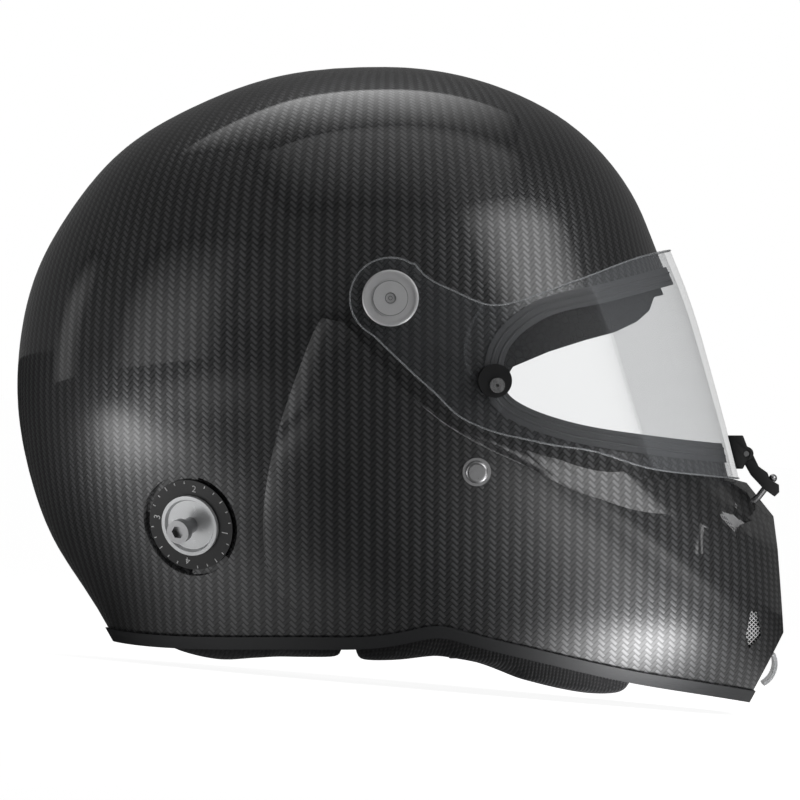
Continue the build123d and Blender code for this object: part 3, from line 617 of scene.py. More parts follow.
@dataclass(frozen=True)
class WovenCarbon:
    """Two-by-two twill of flat tows under clear gloss lacquer, laid out by a UV map counted in tows, with
    painted sheen in its colour.
    """

    name: str = "woven_carbon"
    tow: float = 2.0
    repeat: float = 4.0
    tow_fullness: float = 2.6
    strand_turns: float = 16.0
    strand_depth: float = 0.05
    # How much painted sheen the warp tows and the weft tows get in the colour
    warp_shine: float = 0.95
    weft_shine: float = 0.42
    relief: float = 0.00022
    last_warp_step: float = 1.5
    clouds: float = 28.0
    dark: Triple = (0.003, 0.003, 0.0034)
    # The colour of the painted sheen where a tow catches the most light
    light: Triple = (0.135, 0.136, 0.140)

    def build(self) -> bpy.types.Material:
        """Makes the material.

        Returns:
            The material.
        """
        sheet = Sheet(self.name)
        u, v, _ = sheet.flat()
        along_warp = (u + v) * math.sqrt(0.5)
        along_weft = (v - u) * math.sqrt(0.5)
        warp_number, weft_number = along_warp.whole(), along_weft.whole()
        step = (warp_number - weft_number).cycle(self.repeat)
        weft_on_top = step.over(self.last_warp_step)
        warp_on_top = 1.0 - weft_on_top
        across_warp = (along_warp.fraction() - 0.5) * 2.0
        across_weft = (along_weft.fraction() - 0.5) * 2.0
        warp_round = 1.0 - across_warp.size() ** self.tow_fullness
        weft_round = 1.0 - across_weft.size() ** self.tow_fullness
        # The float's own length is two tows: it rises from one crossing and dives at the next
        warp_float = ((along_weft - warp_number + 1.0).cycle(self.repeat) / 2.0 - 0.5) * 2.0
        weft_float = ((along_warp - weft_number).cycle(self.repeat) / 2.0 - 0.5) * 2.0
        warp_arch = (1.0 - (warp_float * warp_float).maths("MINIMUM", 1.0)) * 0.5 + 0.5
        weft_arch = (1.0 - (weft_float * weft_float).maths("MINIMUM", 1.0)) * 0.5 + 0.5
        strands = (across_warp * self.strand_turns).sine() * self.strand_depth * warp_on_top
        strands = strands + (across_weft * self.strand_turns).sine() * self.strand_depth * weft_on_top
        height = warp_on_top * warp_round * warp_arch + weft_on_top * weft_round * weft_arch
        cloud = sheet.noise(self.clouds, 3.0)
        # Painted sheen: the colour is lighter on warp tows than on weft tows, and lighter along each tow's
        # crown than at its edges; the cloud adds random tone and the strands add fine lines along the fibres
        painted_sheen = warp_on_top * warp_round * self.warp_shine + weft_on_top * weft_round * self.weft_shine
        painted_sheen = painted_sheen * (0.78 + cloud * 0.4) + strands
        return sheet.surface(
            Base_Color=sheet.between(painted_sheen, self.dark, self.light),
            Metallic=0.55,
            Roughness=0.30 + cloud * 0.08 + weft_on_top * 0.1,
            Normal=sheet.bump(height + strands * 0.6, self.relief, strength=0.55),
            Coat_Weight=1.0,
            Coat_Roughness=0.035,
            Coat_IOR=1.52,
        )


@dataclass(frozen=True)
class ClearMoulding:
    """Clear plastic that is straight see-through, with gloss that grows towards its edges."""

    name: str
    tint: Triple
    gloss: float = 0.03
    cover: float = 0.02
    edge_cover: float = 0.22
    passing: Triple = (0.985, 0.987, 0.988)
    scratches: float = 900.0

    def build(self) -> bpy.types.Material:
        """Makes the material.

        Returns:
            The material.
        """
        sheet = Sheet(self.name)
        sheet.material.surface_render_method = "BLENDED"
        fresnel = Wire(sheet, sheet.add("ShaderNodeFresnel", {}, {"IOR": 1.5}).outputs[0])
        scratches = sheet.noise(self.scratches)
        shader = sheet.principled(
            Base_Color=self.tint,
            Roughness=self.gloss + scratches * 0.02,
            IOR=1.58,
            Metallic=0.0,
            Coat_Weight=0.6,
            Coat_Roughness=0.02,
        )
        clear = sheet.add("ShaderNodeBsdfTransparent", {}, {0: (*self.passing, 1.0)})
        share = (self.cover + fresnel * self.edge_cover).maths("MINIMUM", 1.0)
        return sheet.mixed(share, Wire(sheet, clear.outputs[0]), shader)


@dataclass(frozen=True)
class Moulding:
    """Rubber or plastic with a fine grain and a slight cloudiness."""

    name: str
    colour: Triple
    roughness: float = 0.5
    grain: float = 900.0
    depth: float = 0.00004
    coat: float = 0.0
    clouds: float = 45.0
    shadow: float = 0.72

    def build(self) -> bpy.types.Material:
        """Makes the material.

        Returns:
            The material.
        """
        sheet = Sheet(self.name)
        cloud = sheet.noise(self.clouds, 3.0)
        grain = sheet.noise(self.grain)
        return sheet.surface(
            Base_Color=sheet.between(cloud * 0.6 + grain * 0.4, shade(self.colour, self.shadow), self.colour),
            Roughness=self.roughness * 0.86 + cloud * 0.14 + grain * 0.05,
            Normal=sheet.bump(grain, self.depth),
            Coat_Weight=self.coat,
            Coat_Roughness=0.08,
        )


@dataclass(frozen=True)
class TurnedMetal:
    """Metal with fine rings left by the lathe about an axis."""

    name: str
    colour: Triple
    frame: Matrix
    roughness: float = 0.2
    pitch: float = 0.35
    relief: float = 0.000012
    clouds: float = 160.0
    shadow: float = 0.82

    def build(self) -> bpy.types.Material:
        """Makes the material.

        Returns:
            The material.
        """
        sheet = Sheet(self.name)
        x, y, _ = sheet.local(self.frame)
        radius = (x * x + y * y).maths("SQRT")
        rings = radius.wave(self.pitch)
        cloud = sheet.noise(self.clouds, 3.0)
        return sheet.surface(
            Base_Color=sheet.between(rings * 0.5 + cloud * 0.5, shade(self.colour, self.shadow), self.colour),
            Metallic=0.45,
            Roughness=self.roughness + rings * 0.06 + cloud * 0.08,
            Normal=sheet.bump(rings, self.relief, strength=0.7),
        )


@dataclass(frozen=True)
class PlainMetal:
    """Steel or aluminium with a faint brushed streak."""

    name: str
    colour: Triple
    roughness: float = 0.28
    relief: float = 0.00001
    streaks: float = 420.0
    shadow: float = 0.78

    def build(self) -> bpy.types.Material:
        """Makes the material.

        Returns:
            The material.
        """
        sheet = Sheet(self.name)
        stretched = sheet.add(
            "ShaderNodeMapping", {}, {"Vector": sheet.place(), "Scale": (1.0, 9.0, 1.0)}
        )
        streak = sheet.noise(self.streaks, 3.0, Wire(sheet, stretched.outputs[0]))
        return sheet.surface(
            Base_Color=sheet.between(streak, shade(self.colour, self.shadow), self.colour),
            Metallic=1.0,
            Roughness=self.roughness + streak * 0.16,
            Normal=sheet.bump(streak, self.relief),
        )


@dataclass(frozen=True)
class RibbedKnit:
    """Black knitted fabric: ribs along one direction, with a stitch pattern along each rib, and painted shade
    where the knit lies low.
    """

    name: str
    colour: Triple
    frame: Matrix
    rib: float = 1.7
    stitch: float = 1.1
    relief: float = 0.0005
    fuzz: float = 2600.0
    wear: float = 30.0
    # How light the painted shade in the knit's low parts stays, as a share of the colour
    shadow: float = 0.35

    def build(self) -> bpy.types.Material:
        """Makes the material.

        Returns:
            The material.
        """
        sheet = Sheet(self.name)
        x, y, z = sheet.local(self.frame)
        rib = (x + y * 0.35).wave(self.rib)
        loops = ((z + y * 0.5) * (math.tau / self.stitch) + rib * 2.2).sine() * 0.5 + 0.5
        fuzz = sheet.noise(self.fuzz)
        wear = sheet.noise(self.wear, 3.0)
        height = rib * 0.62 + loops * 0.26 + fuzz * 0.12
        # Painted shade: the colour darkens between the ribs and loops; the wear noise varies its depth at
        # random
        painted_valley_shade = shade(self.colour, self.shadow)
        return sheet.surface(
            Base_Color=sheet.between(height * (0.75 + wear * 0.5), painted_valley_shade, self.colour),
            Roughness=0.82 + fuzz * 0.12,
            Sheen_Weight=0.35,
            Sheen_Roughness=0.5,
            Sheen_Tint=(0.6, 0.6, 0.62),
            Normal=sheet.bump(height, self.relief, strength=0.9),
        )


@dataclass(frozen=True)
class Webbing:
    """Woven strap: a fine herringbone laid out by a UV map in millimetres, with painted shade where the weave
    lies low.
    """

    name: str
    colour: Triple
    pick: float = 1.3
    zigzag: float = 3.0
    yarn: float = 0.75
    relief: float = 0.0003
    fuzz: float = 2400.0
    shadow: float = 0.4

    def build(self) -> bpy.types.Material:
        """Makes the material.

        Returns:
            The material.
        """
        sheet = Sheet(self.name)
        along, across, _ = sheet.flat()
        zig = ((across / self.zigzag).fraction() - 0.5).size() * self.zigzag
        picks = (along + zig).wave(self.pick)
        warp = across.wave(self.yarn)
        fuzz = sheet.noise(self.fuzz)
        # Painted shade: the colour darkens where the picks and yarns lie low
        height = picks * 0.55 + warp * 0.3 + fuzz * 0.15
        return sheet.surface(
            Base_Color=sheet.between(height, shade(self.colour, self.shadow), self.colour),
            Roughness=0.74 + fuzz * 0.14,
            Sheen_Weight=0.25,
            Sheen_Roughness=0.45,
            Normal=sheet.bump(height, self.relief, strength=0.9),
        )


@dataclass(frozen=True)
class BeadedFoam:
    """Moulded bead foam: cells pressed flat at the surface, with painted shade in the grooves between them.
    """

    name: str
    colour: Triple
    beads: float = 330.0
    groove: float = 0.12
    relief: float = 0.00025
    clouds: float = 60.0
    shadow: float = 0.45

    def build(self) -> bpy.types.Material:
        """Makes the material.

        Returns:
            The material.
        """
        sheet = Sheet(self.name)
        cells = sheet.add(
            "ShaderNodeTexVoronoi", {"feature": "DISTANCE_TO_EDGE"},
            {"Vector": sheet.place(), "Scale": self.beads},
        )
        edge = Wire(sheet, cells.outputs["Distance"]).rise(0.0, self.groove)
        cloud = sheet.noise(self.clouds)
        # Painted shade: the colour darkens in the grooves between the beads
        gap = shade(self.colour, self.shadow)
        return sheet.surface(
            Base_Color=sheet.between(edge * (0.8 + cloud * 0.3), gap, self.colour),
            Roughness=0.72 + cloud * 0.12,
            Normal=sheet.bump(edge, self.relief, strength=0.8),
        )


def fresh_object(name: str, mesh: bpy.types.Mesh) -> bpy.types.Object:
    """Puts a mesh in the scene as an object at the origin.

    Args:
        name: The object's name.
        mesh: The mesh.

    Returns:
        The object.
    """
    obj = bpy.data.objects.new(name, mesh)
    bpy.context.scene.collection.objects.link(obj)
    return obj


def numbers(items: Any, key: str) -> np.ndarray:
    """Reads one whole number from each of a mesh's elements.

    Args:
        items: The elements.
        key: The property that holds the number.

    Returns:
        The numbers.
    """
    found = np.empty(len(items), dtype=np.int32)
    items.foreach_get(key, found)
    return found


def vectors(items: Any, key: str) -> np.ndarray:
    """Reads one vector from each of a mesh's elements.

    Args:
        items: The elements.
        key: The property that holds the vector.

    Returns:
        The vectors, one row each.
    """
    found = np.empty(len(items) * 3)
    items.foreach_get(key, found)
    return found.reshape(-1, 3)


def face_of_corners(mesh: bpy.types.Mesh) -> np.ndarray:
    """The number of the face that each corner belongs to."""
    return np.repeat(np.arange(len(mesh.polygons)), numbers(mesh.polygons, "loop_total"))


def mesh_object(
    name: str, points: np.ndarray, faces: Sequence[Sequence[int]], worn: Worn
) -> bpy.types.Object:
    """Makes an object from level-frame points and faces.

    Args:
        name: The object's name.
        points: Level-frame millimetres.
        faces: Corner numbers of each face.
        worn: The level frame.

    Returns:
        The object, with its place in its mesh.
    """
    mesh = bpy.data.meshes.new(name)
    mesh.from_pydata(worn.to_row(points).tolist(), [], [list(face) for face in faces])
    mesh.update()
    return fresh_object(name, mesh)


def edges_object(name: str, runs: Sequence[np.ndarray], worn: Worn) -> bpy.types.Object:
    """Makes an object of bare edges from level-frame runs.

    Args:
        name: The object's name.
        runs: The runs' points. A run whose ends meet is closed.
        worn: The level frame.

    Returns:
        The object.
    """
    ends_meet = 0.01
    points: list[np.ndarray] = []
    edges: list[tuple[int, int]] = []
    for run in runs:
        start = len(points)
        closed = bool(np.linalg.norm(run[0] - run[-1]) < ends_meet)
        kept = run[:-1] if closed else run
        points.extend(kept)
        edges.extend((start + n, start + n + 1) for n in range(len(kept) - 1))
        if closed:
            edges.append((start + len(kept) - 1, start))
    mesh = bpy.data.meshes.new(name)
    mesh.from_pydata(worn.to_row(np.array(points)).tolist(), edges, [])
    return fresh_object(name, mesh)


def baked_object(obj: bpy.types.Object, name: str) -> bpy.types.Object:
    """Turns an object and its modifiers into a plain mesh object, and drops the old one.

    Args:
        obj: The object.
        name: The new object's name.

    Returns:
        The new object.
    """
    bpy.context.view_layer.update()
    graph = bpy.context.evaluated_depsgraph_get()
    mesh = bpy.data.meshes.new_from_object(
        obj.evaluated_get(graph), preserve_all_data_layers=True, depsgraph=graph
    )
    for modifier in list(obj.modifiers):
        obj.modifiers.remove(modifier)
    bpy.data.objects.remove(obj)
    mesh.name = name
    return fresh_object(name, mesh)


def merged_copy(node: bpy.types.Object, name: str, flatten: bool = False) -> bpy.types.Object:
    """Copies a CAD node's triangles and merges them.

    Args:
        node: The CAD node.
        name: The copy's name.
        flatten: Whether flat faces are joined into one.

    Returns:
        The copy.
    """
    merge_distance = 2e-6
    flat_angle = math.radians(0.6)
    mesh = node.data.copy()
    mesh.name = name
    work = bmesh.new()
    work.from_mesh(mesh)
    bmesh.ops.remove_doubles(work, verts=work.verts, dist=merge_distance)
    if flatten:
        bmesh.ops.dissolve_limit(work, angle_limit=flat_angle, verts=work.verts, edges=work.edges)
    work.to_mesh(mesh)
    work.free()
    mesh.materials.clear()
    return fresh_object(name, mesh)


def smooth_by_angle(obj: bpy.types.Object, degrees: float = 32.0) -> None:
    """Shades a mesh smooth, except over edges sharper than an angle."""
    obj.data.shade_smooth()
    obj.data.set_sharp_from_angle(angle=math.radians(degrees))


def dress(obj: bpy.types.Object, material: bpy.types.Material) -> None:
    """Gives an object one material.

    Args:
        obj: The object.
        material: The material.
    """
    if obj.data.materials:
        for number in range(len(obj.data.materials)):
            obj.data.materials[number] = material
    else:
        obj.data.materials.append(material)


def settle_normals(
    obj: bpy.types.Object, worn: Worn, forms: Sequence[RoundedForm], reach: float = SKIN_REACH
) -> np.ndarray:
    """Gives the faces that lie on the rounded forms those forms' own directions.

    Args:
        obj: The object.
        worn: The level frame.
        forms: The rounded forms.
        reach: How far from a form a face's corners may be, in millimetres.

    Returns:
        The number of each face's form, or -1.
    """
    mesh = obj.data
    smooth_by_angle(obj, SHARP_ANGLE)
    corners = vectors(mesh.corner_normals, "vector")
    level = worn.to_level(vectors(mesh.vertices, "co"))
    middles = worn.to_level(vectors(mesh.polygons, "center"))
    facing = vectors(mesh.polygons, "normal")
    starts = numbers(mesh.polygons, "loop_start")
    owner = numbers(mesh.loops, "vertex_index")
    face_of = face_of_corners(mesh)
    nearest = np.full(len(mesh.polygons), reach)
    choice = np.full(len(mesh.polygons), -1)
    for number, form in enumerate(forms):
        away = np.maximum.reduceat(form.distance(level)[owner], starts)
        along = np.abs(np.sum(worn.turn(form.normals(middles)) * facing, axis=1))
        lies_on = (along > ALIGNED) | ((away < TOUCHING) & (along > NOT_TURNED_AWAY))
        better = (away < nearest) & lies_on
        nearest[better] = away[better]
        choice[better] = number
    for number, form in enumerate(forms):
        chosen = choice[face_of] == number
        if not chosen.any():
            continue
        lines = worn.turn(form.normals(level[owner[chosen]]))
        agree = np.sum(lines * facing[face_of[chosen]], axis=1, keepdims=True)
        usual = math.copysign(1.0, float(np.sum(agree)))
        sided = np.abs(agree) > CLEARLY_SIDED
        corners[chosen] = lines * np.where(sided, np.sign(agree), usual)
    mesh.normals_split_custom_set(corners.tolist())
    return choice


def border_runs(obj: bpy.types.Object, worn: Worn, chosen: np.ndarray) -> list[np.ndarray]:
    """Finds the lines where the chosen faces of a mesh end.

    Args:
        obj: The object.
        worn: The level frame.
        chosen: Whether each face is chosen.

    Returns:
        The closed lines, level-frame.
    """
    shortest_border = 12
    mesh = obj.data
    sides: dict[tuple[int, int], list[bool]] = {}
    for face in mesh.polygons:
        for key in face.edge_keys:
            sides.setdefault(key, []).append(bool(chosen[face.index]))
    beside: dict[int, list[int]] = {}
    for (first, second), picked in sides.items():
        if sorted(picked) == [False, True]:
            beside.setdefault(first, []).append(second)
            beside.setdefault(second, []).append(first)
    runs, seen = [], set()
    for start in beside:
        if start in seen:
            continue
        walk, here = [start], start
        seen.add(start)
        while True:
            ahead = [other for other in beside[here] if other not in seen]
            if not ahead:
                break
            here = ahead[0]
            seen.add(here)
            walk.append(here)
        if len(walk) > shortest_border:
            walk.append(start)
            runs.append(worn.to_level(np.array([mesh.vertices[number].co for number in walk])))
    return runs


def lay_cloth(
    obj: bpy.types.Object, worn: Worn, forms: Sequence[RoundedForm], choice: np.ndarray, tow: float
) -> None:
    """Adds the cloth UV map, counted in tows.

    Args:
        obj: The object.
        worn: The level frame.
        forms: The rounded forms, the crown first and the chin second.
        choice: The number of each face's form, or -1.
        tow: The tow's width in millimetres.
    """
    outside_crown = -0.03
    mesh = obj.data
    level = worn.to_level(vectors(mesh.vertices, "co"))
    middles = worn.to_level(vectors(mesh.polygons, "center"))
    owner = numbers(mesh.loops, "vertex_index")
    face_of = face_of_corners(mesh)
    crown, chin = forms[0].cloth(level), forms[1].cloth(level)
    on_chin = (choice % 2 == 1) & (choice >= 0)
    on_chin |= (choice < 0) & (forms[0].value(middles) > outside_crown)
    flat = np.where(on_chin[face_of][:, None], chin[owner], crown[owner]) / tow
    layer = mesh.uv_layers.new(name="cloth")
    layer.data.foreach_set("uv", flat.astype(np.float32).ravel())


class GeometryTree:
    """A geometry-node tree with named sizes, run once on a carrier object."""

    def __init__(self, name: str) -> None:
        """Starts the tree with a geometry socket in and out.

        Args:
            name: The tree's name.
        """
        self.tree = bpy.data.node_groups.new(name, "GeometryNodeTree")
        face = self.tree.interface
        face.new_socket("Geometry", in_out="INPUT", socket_type="NodeSocketGeometry")
        face.new_socket("Geometry", in_out="OUTPUT", socket_type="NodeSocketGeometry")
        self.entry = self.tree.nodes.new("NodeGroupInput")
        self.sizes: dict[str, float] = {}

    def size(self, name: str, value: float) -> bpy.types.NodeSocket:
        """Adds one named size.

        Args:
            name: The size's name.
            value: The size.

        Returns:
            The socket that it comes from.
        """
        self.tree.interface.new_socket(name, in_out="INPUT", socket_type="NodeSocketFloat")
        self.sizes[name] = value
        return self.entry.outputs[name]

    def add(self, kind: str, settings: dict[str, Any], inputs: dict[Any, Any]) -> bpy.types.Node:
        """Adds one node.

        Args:
            kind: The node's type.
            settings: Properties, set before the sockets.
            inputs: Values or sockets, by the socket's name or number.

        Returns:
            The node.
        """
        node = self.tree.nodes.new(kind)
        for key, value in settings.items():
            setattr(node, key, value)
        for key, value in inputs.items():
            if isinstance(value, bpy.types.NodeSocket):
                self.tree.links.new(value, node.inputs[key])
            else:
                node.inputs[key].default_value = value
        return node

    def run(
        self, carrier: bpy.types.Object, name: str, shape: bpy.types.NodeSocket, material: bpy.types.Material
    ) -> bpy.types.Object:
        """Ends the tree, runs it and keeps the plain mesh.

        Args:
            carrier: The object whose mesh goes in.
            name: The new object's name.
            shape: The socket with the finished geometry.
            material: Its material.

        Returns:
            The new object.
        """
        real = self.add("GeometryNodeRealizeInstances", {}, {"Geometry": shape})
        painted = self.add(
            "GeometryNodeSetMaterial", {}, {"Geometry": real.outputs[0], "Material": material}
        )
        out = self.tree.nodes.new("NodeGroupOutput")
        self.tree.links.new(painted.outputs[0], out.inputs["Geometry"])
        modifier = carrier.modifiers.new("shape", "NODES")
        modifier.node_group = self.tree
        items = self.tree.interface.items_tree
        by_name = {item.name: item.identifier for item in items if item.in_out == "INPUT"}
        for key, value in self.sizes.items():
            modifier[by_name[key]] = value
        return baked_object(carrier, name)


def wire_piece(
    name: str, runs: Sequence[np.ndarray], radius: float, worn: Worn, material: bpy.types.Material,
    corners: int = 8, spacing: float = 1.5,
) -> bpy.types.Object:
    """Makes round wires along level-frame runs.

    Args:
        name: The object's name.
        runs: The wires' middle lines.
        radius: The wire's radius in millimetres.
        worn: The level frame.
        material: The finish.
        corners: How many sides the wire has.
        spacing: How far apart its rings are, in millimetres.

    Returns:
        The object.
    """
    tree = GeometryTree(f"{name}_tree")
    wire = tree.size("Wire radius", radius * MM)
    spread = tree.size("Ring spacing", spacing * MM)
    curve = tree.add("GeometryNodeMeshToCurve", {}, {"Mesh": tree.entry.outputs["Geometry"]})
    even = tree.add(
        "GeometryNodeResampleCurve", {"mode": "LENGTH"}, {"Curve": curve.outputs[0], "Length": spread}
    )
    ring = tree.add(
        "GeometryNodeCurvePrimitiveCircle", {"mode": "RADIUS"}, {"Resolution": corners, "Radius": wire}
    )
    tube = tree.add(
        "GeometryNodeCurveToMesh", {},
        {"Curve": even.outputs[0], "Profile Curve": ring.outputs[0], "Fill Caps": True},
    )
    smooth = tree.add("GeometryNodeSetShadeSmooth", {}, {0: tube.outputs[0], "Shade Smooth": True})
    return tree.run(edges_object(name, runs, worn), name, smooth.outputs[0], material)


def bead_row(
    name: str, runs: Sequence[np.ndarray], size: Triple, spacing: float, worn: Worn,
    material: bpy.types.Material,
) -> bpy.types.Object:
    """Sets small rounded bars in a row along level-frame runs, as stitches or ticks lie.

    Args:
        name: The object's name.
        runs: The lines that the bars follow.
        size: A bar's length along the line, width and height, in millimetres.
        spacing: From one bar's middle to the next.
        worn: The level frame.
        material: The finish.

    Returns:
        The object.
    """
    tree = GeometryTree(f"{name}_tree")
    apart = tree.size("Spacing", spacing * MM)
    words = ("Length", "Width", "Height")
    long, wide, high = (tree.size(word, value * MM) for word, value in zip(words, size))
    curve = tree.add("GeometryNodeMeshToCurve", {}, {"Mesh": tree.entry.outputs["Geometry"]})
    even = tree.add(
        "GeometryNodeResampleCurve", {"mode": "LENGTH"}, {"Curve": curve.outputs[0], "Length": apart}
    )
    heading = tree.add("GeometryNodeInputTangent", {}, {})
    turned = tree.add(
        "FunctionNodeAlignRotationToVector", {"axis": "X"}, {"Vector": heading.outputs[0]}
    )
    bar = tree.add(
        "GeometryNodeMeshUVSphere", {}, {"Segments": 8, "Rings": 5, "Radius": 0.5}
    )
    scale = tree.add("ShaderNodeCombineXYZ", {}, {0: long, 1: wide, 2: high})
    placed = tree.add(
        "GeometryNodeInstanceOnPoints", {},
        {"Points": even.outputs[0], "Instance": bar.outputs[0], "Rotation": turned.outputs[0],
         "Scale": scale.outputs[0]},
    )
    smooth = tree.add("GeometryNodeSetShadeSmooth", {}, {0: placed.outputs[0], "Shade Smooth": True})
    return tree.run(edges_object(name, runs, worn), name, smooth.outputs[0], material)


def join_objects(name: str, parts: Sequence[bpy.types.Object]) -> bpy.types.Object:
    """Joins plain mesh objects at the origin into one.

    Args:
        name: The joined object's name.
        parts: The objects, which are dropped.

    Returns:
        The joined object, with the first one's materials.
    """
    work = bmesh.new()
    first = parts[0]
    for part in parts:
        work.from_mesh(part.data)
    mesh = bpy.data.meshes.new(name)
    work.to_mesh(mesh)
    work.free()
    for material in first.data.materials:
        mesh.materials.append(material)
    for part in parts:
        bpy.data.objects.remove(part)
    return fresh_object(name, mesh)


@dataclass
class Kit:
    """What every sub-assembly needs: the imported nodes, the level frame and the record."""

    nodes: dict[str, bpy.types.Object]
    worn: Worn
    record: dict
    body: str = "helmet"

    def keep(self, material: bpy.types.Material, *names: str) -> None:
        """Shows CAD nodes as they are, in one finish.

        Args:
            material: The finish.
            names: The nodes' names.
        """
        for name in names:
            dress(self.nodes[name], material)
            LOG.info("%s keeps its CAD shape in %s", name, material.name)

    def settle(
        self, obj: bpy.types.Object, slot: str, stands_for: Sequence[str] = (), body: str | None = None
    ) -> bpy.types.Object:
        """Puts a finished piece on its body.

        Args:
            obj: The piece.
            slot: The record's material slot. It is not used.
            stands_for: The CAD nodes that it replaces.
            body: The CAD body that it rides on, the helmet if none is given.

        Returns:
            The piece.
        """
        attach(obj, body or self.body)
        if stands_for:
            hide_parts(*stands_for)
        LOG.info("%s: %d faces", obj.name, len(obj.data.polygons))
        return obj

    def anchor_frame(self, side: Side) -> Matrix:
        """The frame on the shell's outer skin at a tether anchor.

        Args:
            side: The wearer's side.

        Returns:
            The frame in metres, with Z pointing out.
        """
        mount = next(m for m in self.record["mounts"] if m["name"] == f"tether_post_{side.word}")
        out = Vector(mount["axis"]).normalized()
        foot = Vector(mount["pos_m"]) - out * (MOUNT_HEIGHT * MM)
        forward = (Vector((1, 0, 0)) - out * out.x).normalized()
        grid = Matrix((forward, out.cross(forward), out)).transposed().to_4x4()
        return Matrix.Translation(foot) @ grid


@dataclass
class Shell:
    """The woven outer shell, its rubber edge and the mesh in its vents."""

    kit: Kit
    trim_lip: float = 1.3
    mesh_pitch: float = 1.35
    mesh_wire: float = 0.24
    mesh_step: float = 0.45
    mesh_rise: float = 0.4
    mesh_crossing: float = 0.18

    def build(self) -> None:
        """Makes every piece of the sub-assembly."""
        self.skin()
        self.edge()
        self.vents()

    def forms(self, grow: float) -> list[RoundedForm]:
        """The crown and chin forms, grown outwards.

        Args:
            grow: How far, in millimetres.

        Returns:
            The two forms.
        """
        return [
            RoundedForm(places(CROWN_SHARES), HALF_WIDTH + grow, grow),
            RoundedForm(places(CHIN_SHARES), HALF_WIDTH + CHEEK_SWELL + grow, grow),
        ]

    def skin(self) -> None:
        """The carbon shell."""
        finish = WovenCarbon()
        shell = merged_copy(self.kit.nodes["outer_shell"], "carbon_shell")
        forms = self.forms(0) + self.forms(-SHELL_WALL)
        choice = settle_normals(shell, self.kit.worn, forms)
        lay_cloth(shell, self.kit.worn, forms, choice, finish.tow)
        dress(shell, finish.build())
        self.kit.settle(shell, "carbon_shell", ["outer_shell"])

    def edge(self) -> None:
        """The rubber channel along the lower edge."""
        trim = merged_copy(self.kit.nodes["rim_trim"], "edge_trim")
        lip = self.trim_lip
        settle_normals(trim, self.kit.worn, self.forms(lip) + self.forms(-SHELL_WALL - lip), RUBBER_REACH)
        dress(trim, Moulding("satin_rubber", (0.052, 0.053, 0.056), roughness=0.42, grain=700.0).build())
        self.kit.settle(trim, "trim_rubber", ["rim_trim"])

    def vents(self) -> None:
        """Woven wire in each vent."""
        finish = Moulding("mesh_wire", (0.86, 0.86, 0.87), roughness=0.38, grain=1200.0).build()
        for side in Side:
            lower = self.weave(f"lower_vent_mesh_{side.word}", side, (0, -side.value, 0), (0, 2))
            upper = self.weave(f"upper_vent_mesh_{side.word}", side, (0, 0, -1), (0, 1))
            for word, runs in {"lower": lower, "upper": upper}.items():
                name = f"{word}_vent_wire_{side.word}"
                piece = wire_piece(name, runs, self.mesh_wire, self.kit.worn, finish, corners=6, spacing=0.9)
                self.kit.settle(piece, "vent_mesh", [f"{word}_vent_mesh_{side.word}"])

    def weave(self, node: str, side: Side, look: Triple, plan: tuple[int, int]) -> list[np.ndarray]:
        """Finds the wires that cross a vent's plate.

        Args:
            node: The plate's CAD node.
            side: The wearer's side.
            look: The level-frame direction in which the plate is looked at.
            plan: The two level axes of that view.

        Returns:
            The wires' middle lines, level-frame.
        """
        mesh = self.kit.nodes[node].data
        points = self.kit.worn.to_level(np.array([vertex.co for vertex in mesh.vertices]))
        tree = BVHTree.FromPolygons(points.tolist(), [tuple(face.vertices) for face in mesh.polygons])
        low, high = points.min(axis=0), points.max(axis=0)
        middle, reach = (low + high) / 2, np.linalg.norm(high - low)
        sight = np.array(look, dtype=float)
        runs = []
        for slope in (1, -1):
            heading = np.zeros(3)
            heading[plan[0]], heading[plan[1]] = math.sqrt(0.5), slope * math.sqrt(0.5)
            across = np.zeros(3)
            across[plan[0]], across[plan[1]] = -slope * math.sqrt(0.5), math.sqrt(0.5)
            rise = self.mesh_rise - self.mesh_crossing * slope
            for offset in np.arange(-reach / 2, reach / 2, self.mesh_pitch):
                run: list[np.ndarray] = []
                for travel in np.arange(-reach / 2, reach / 2, self.mesh_step):
                    eye = middle + heading * travel + across * offset - sight * reach
                    hit = tree.ray_cast(Vector(eye), Vector(look))[0]
                    if hit is not None:
                        run.append(np.array(hit) + sight * rise)
                        continue
                    if len(run) > 2:
                        runs.append(np.array(run))
                    run = []
                if len(run) > 2:
                    runs.append(np.array(run))
        return runs


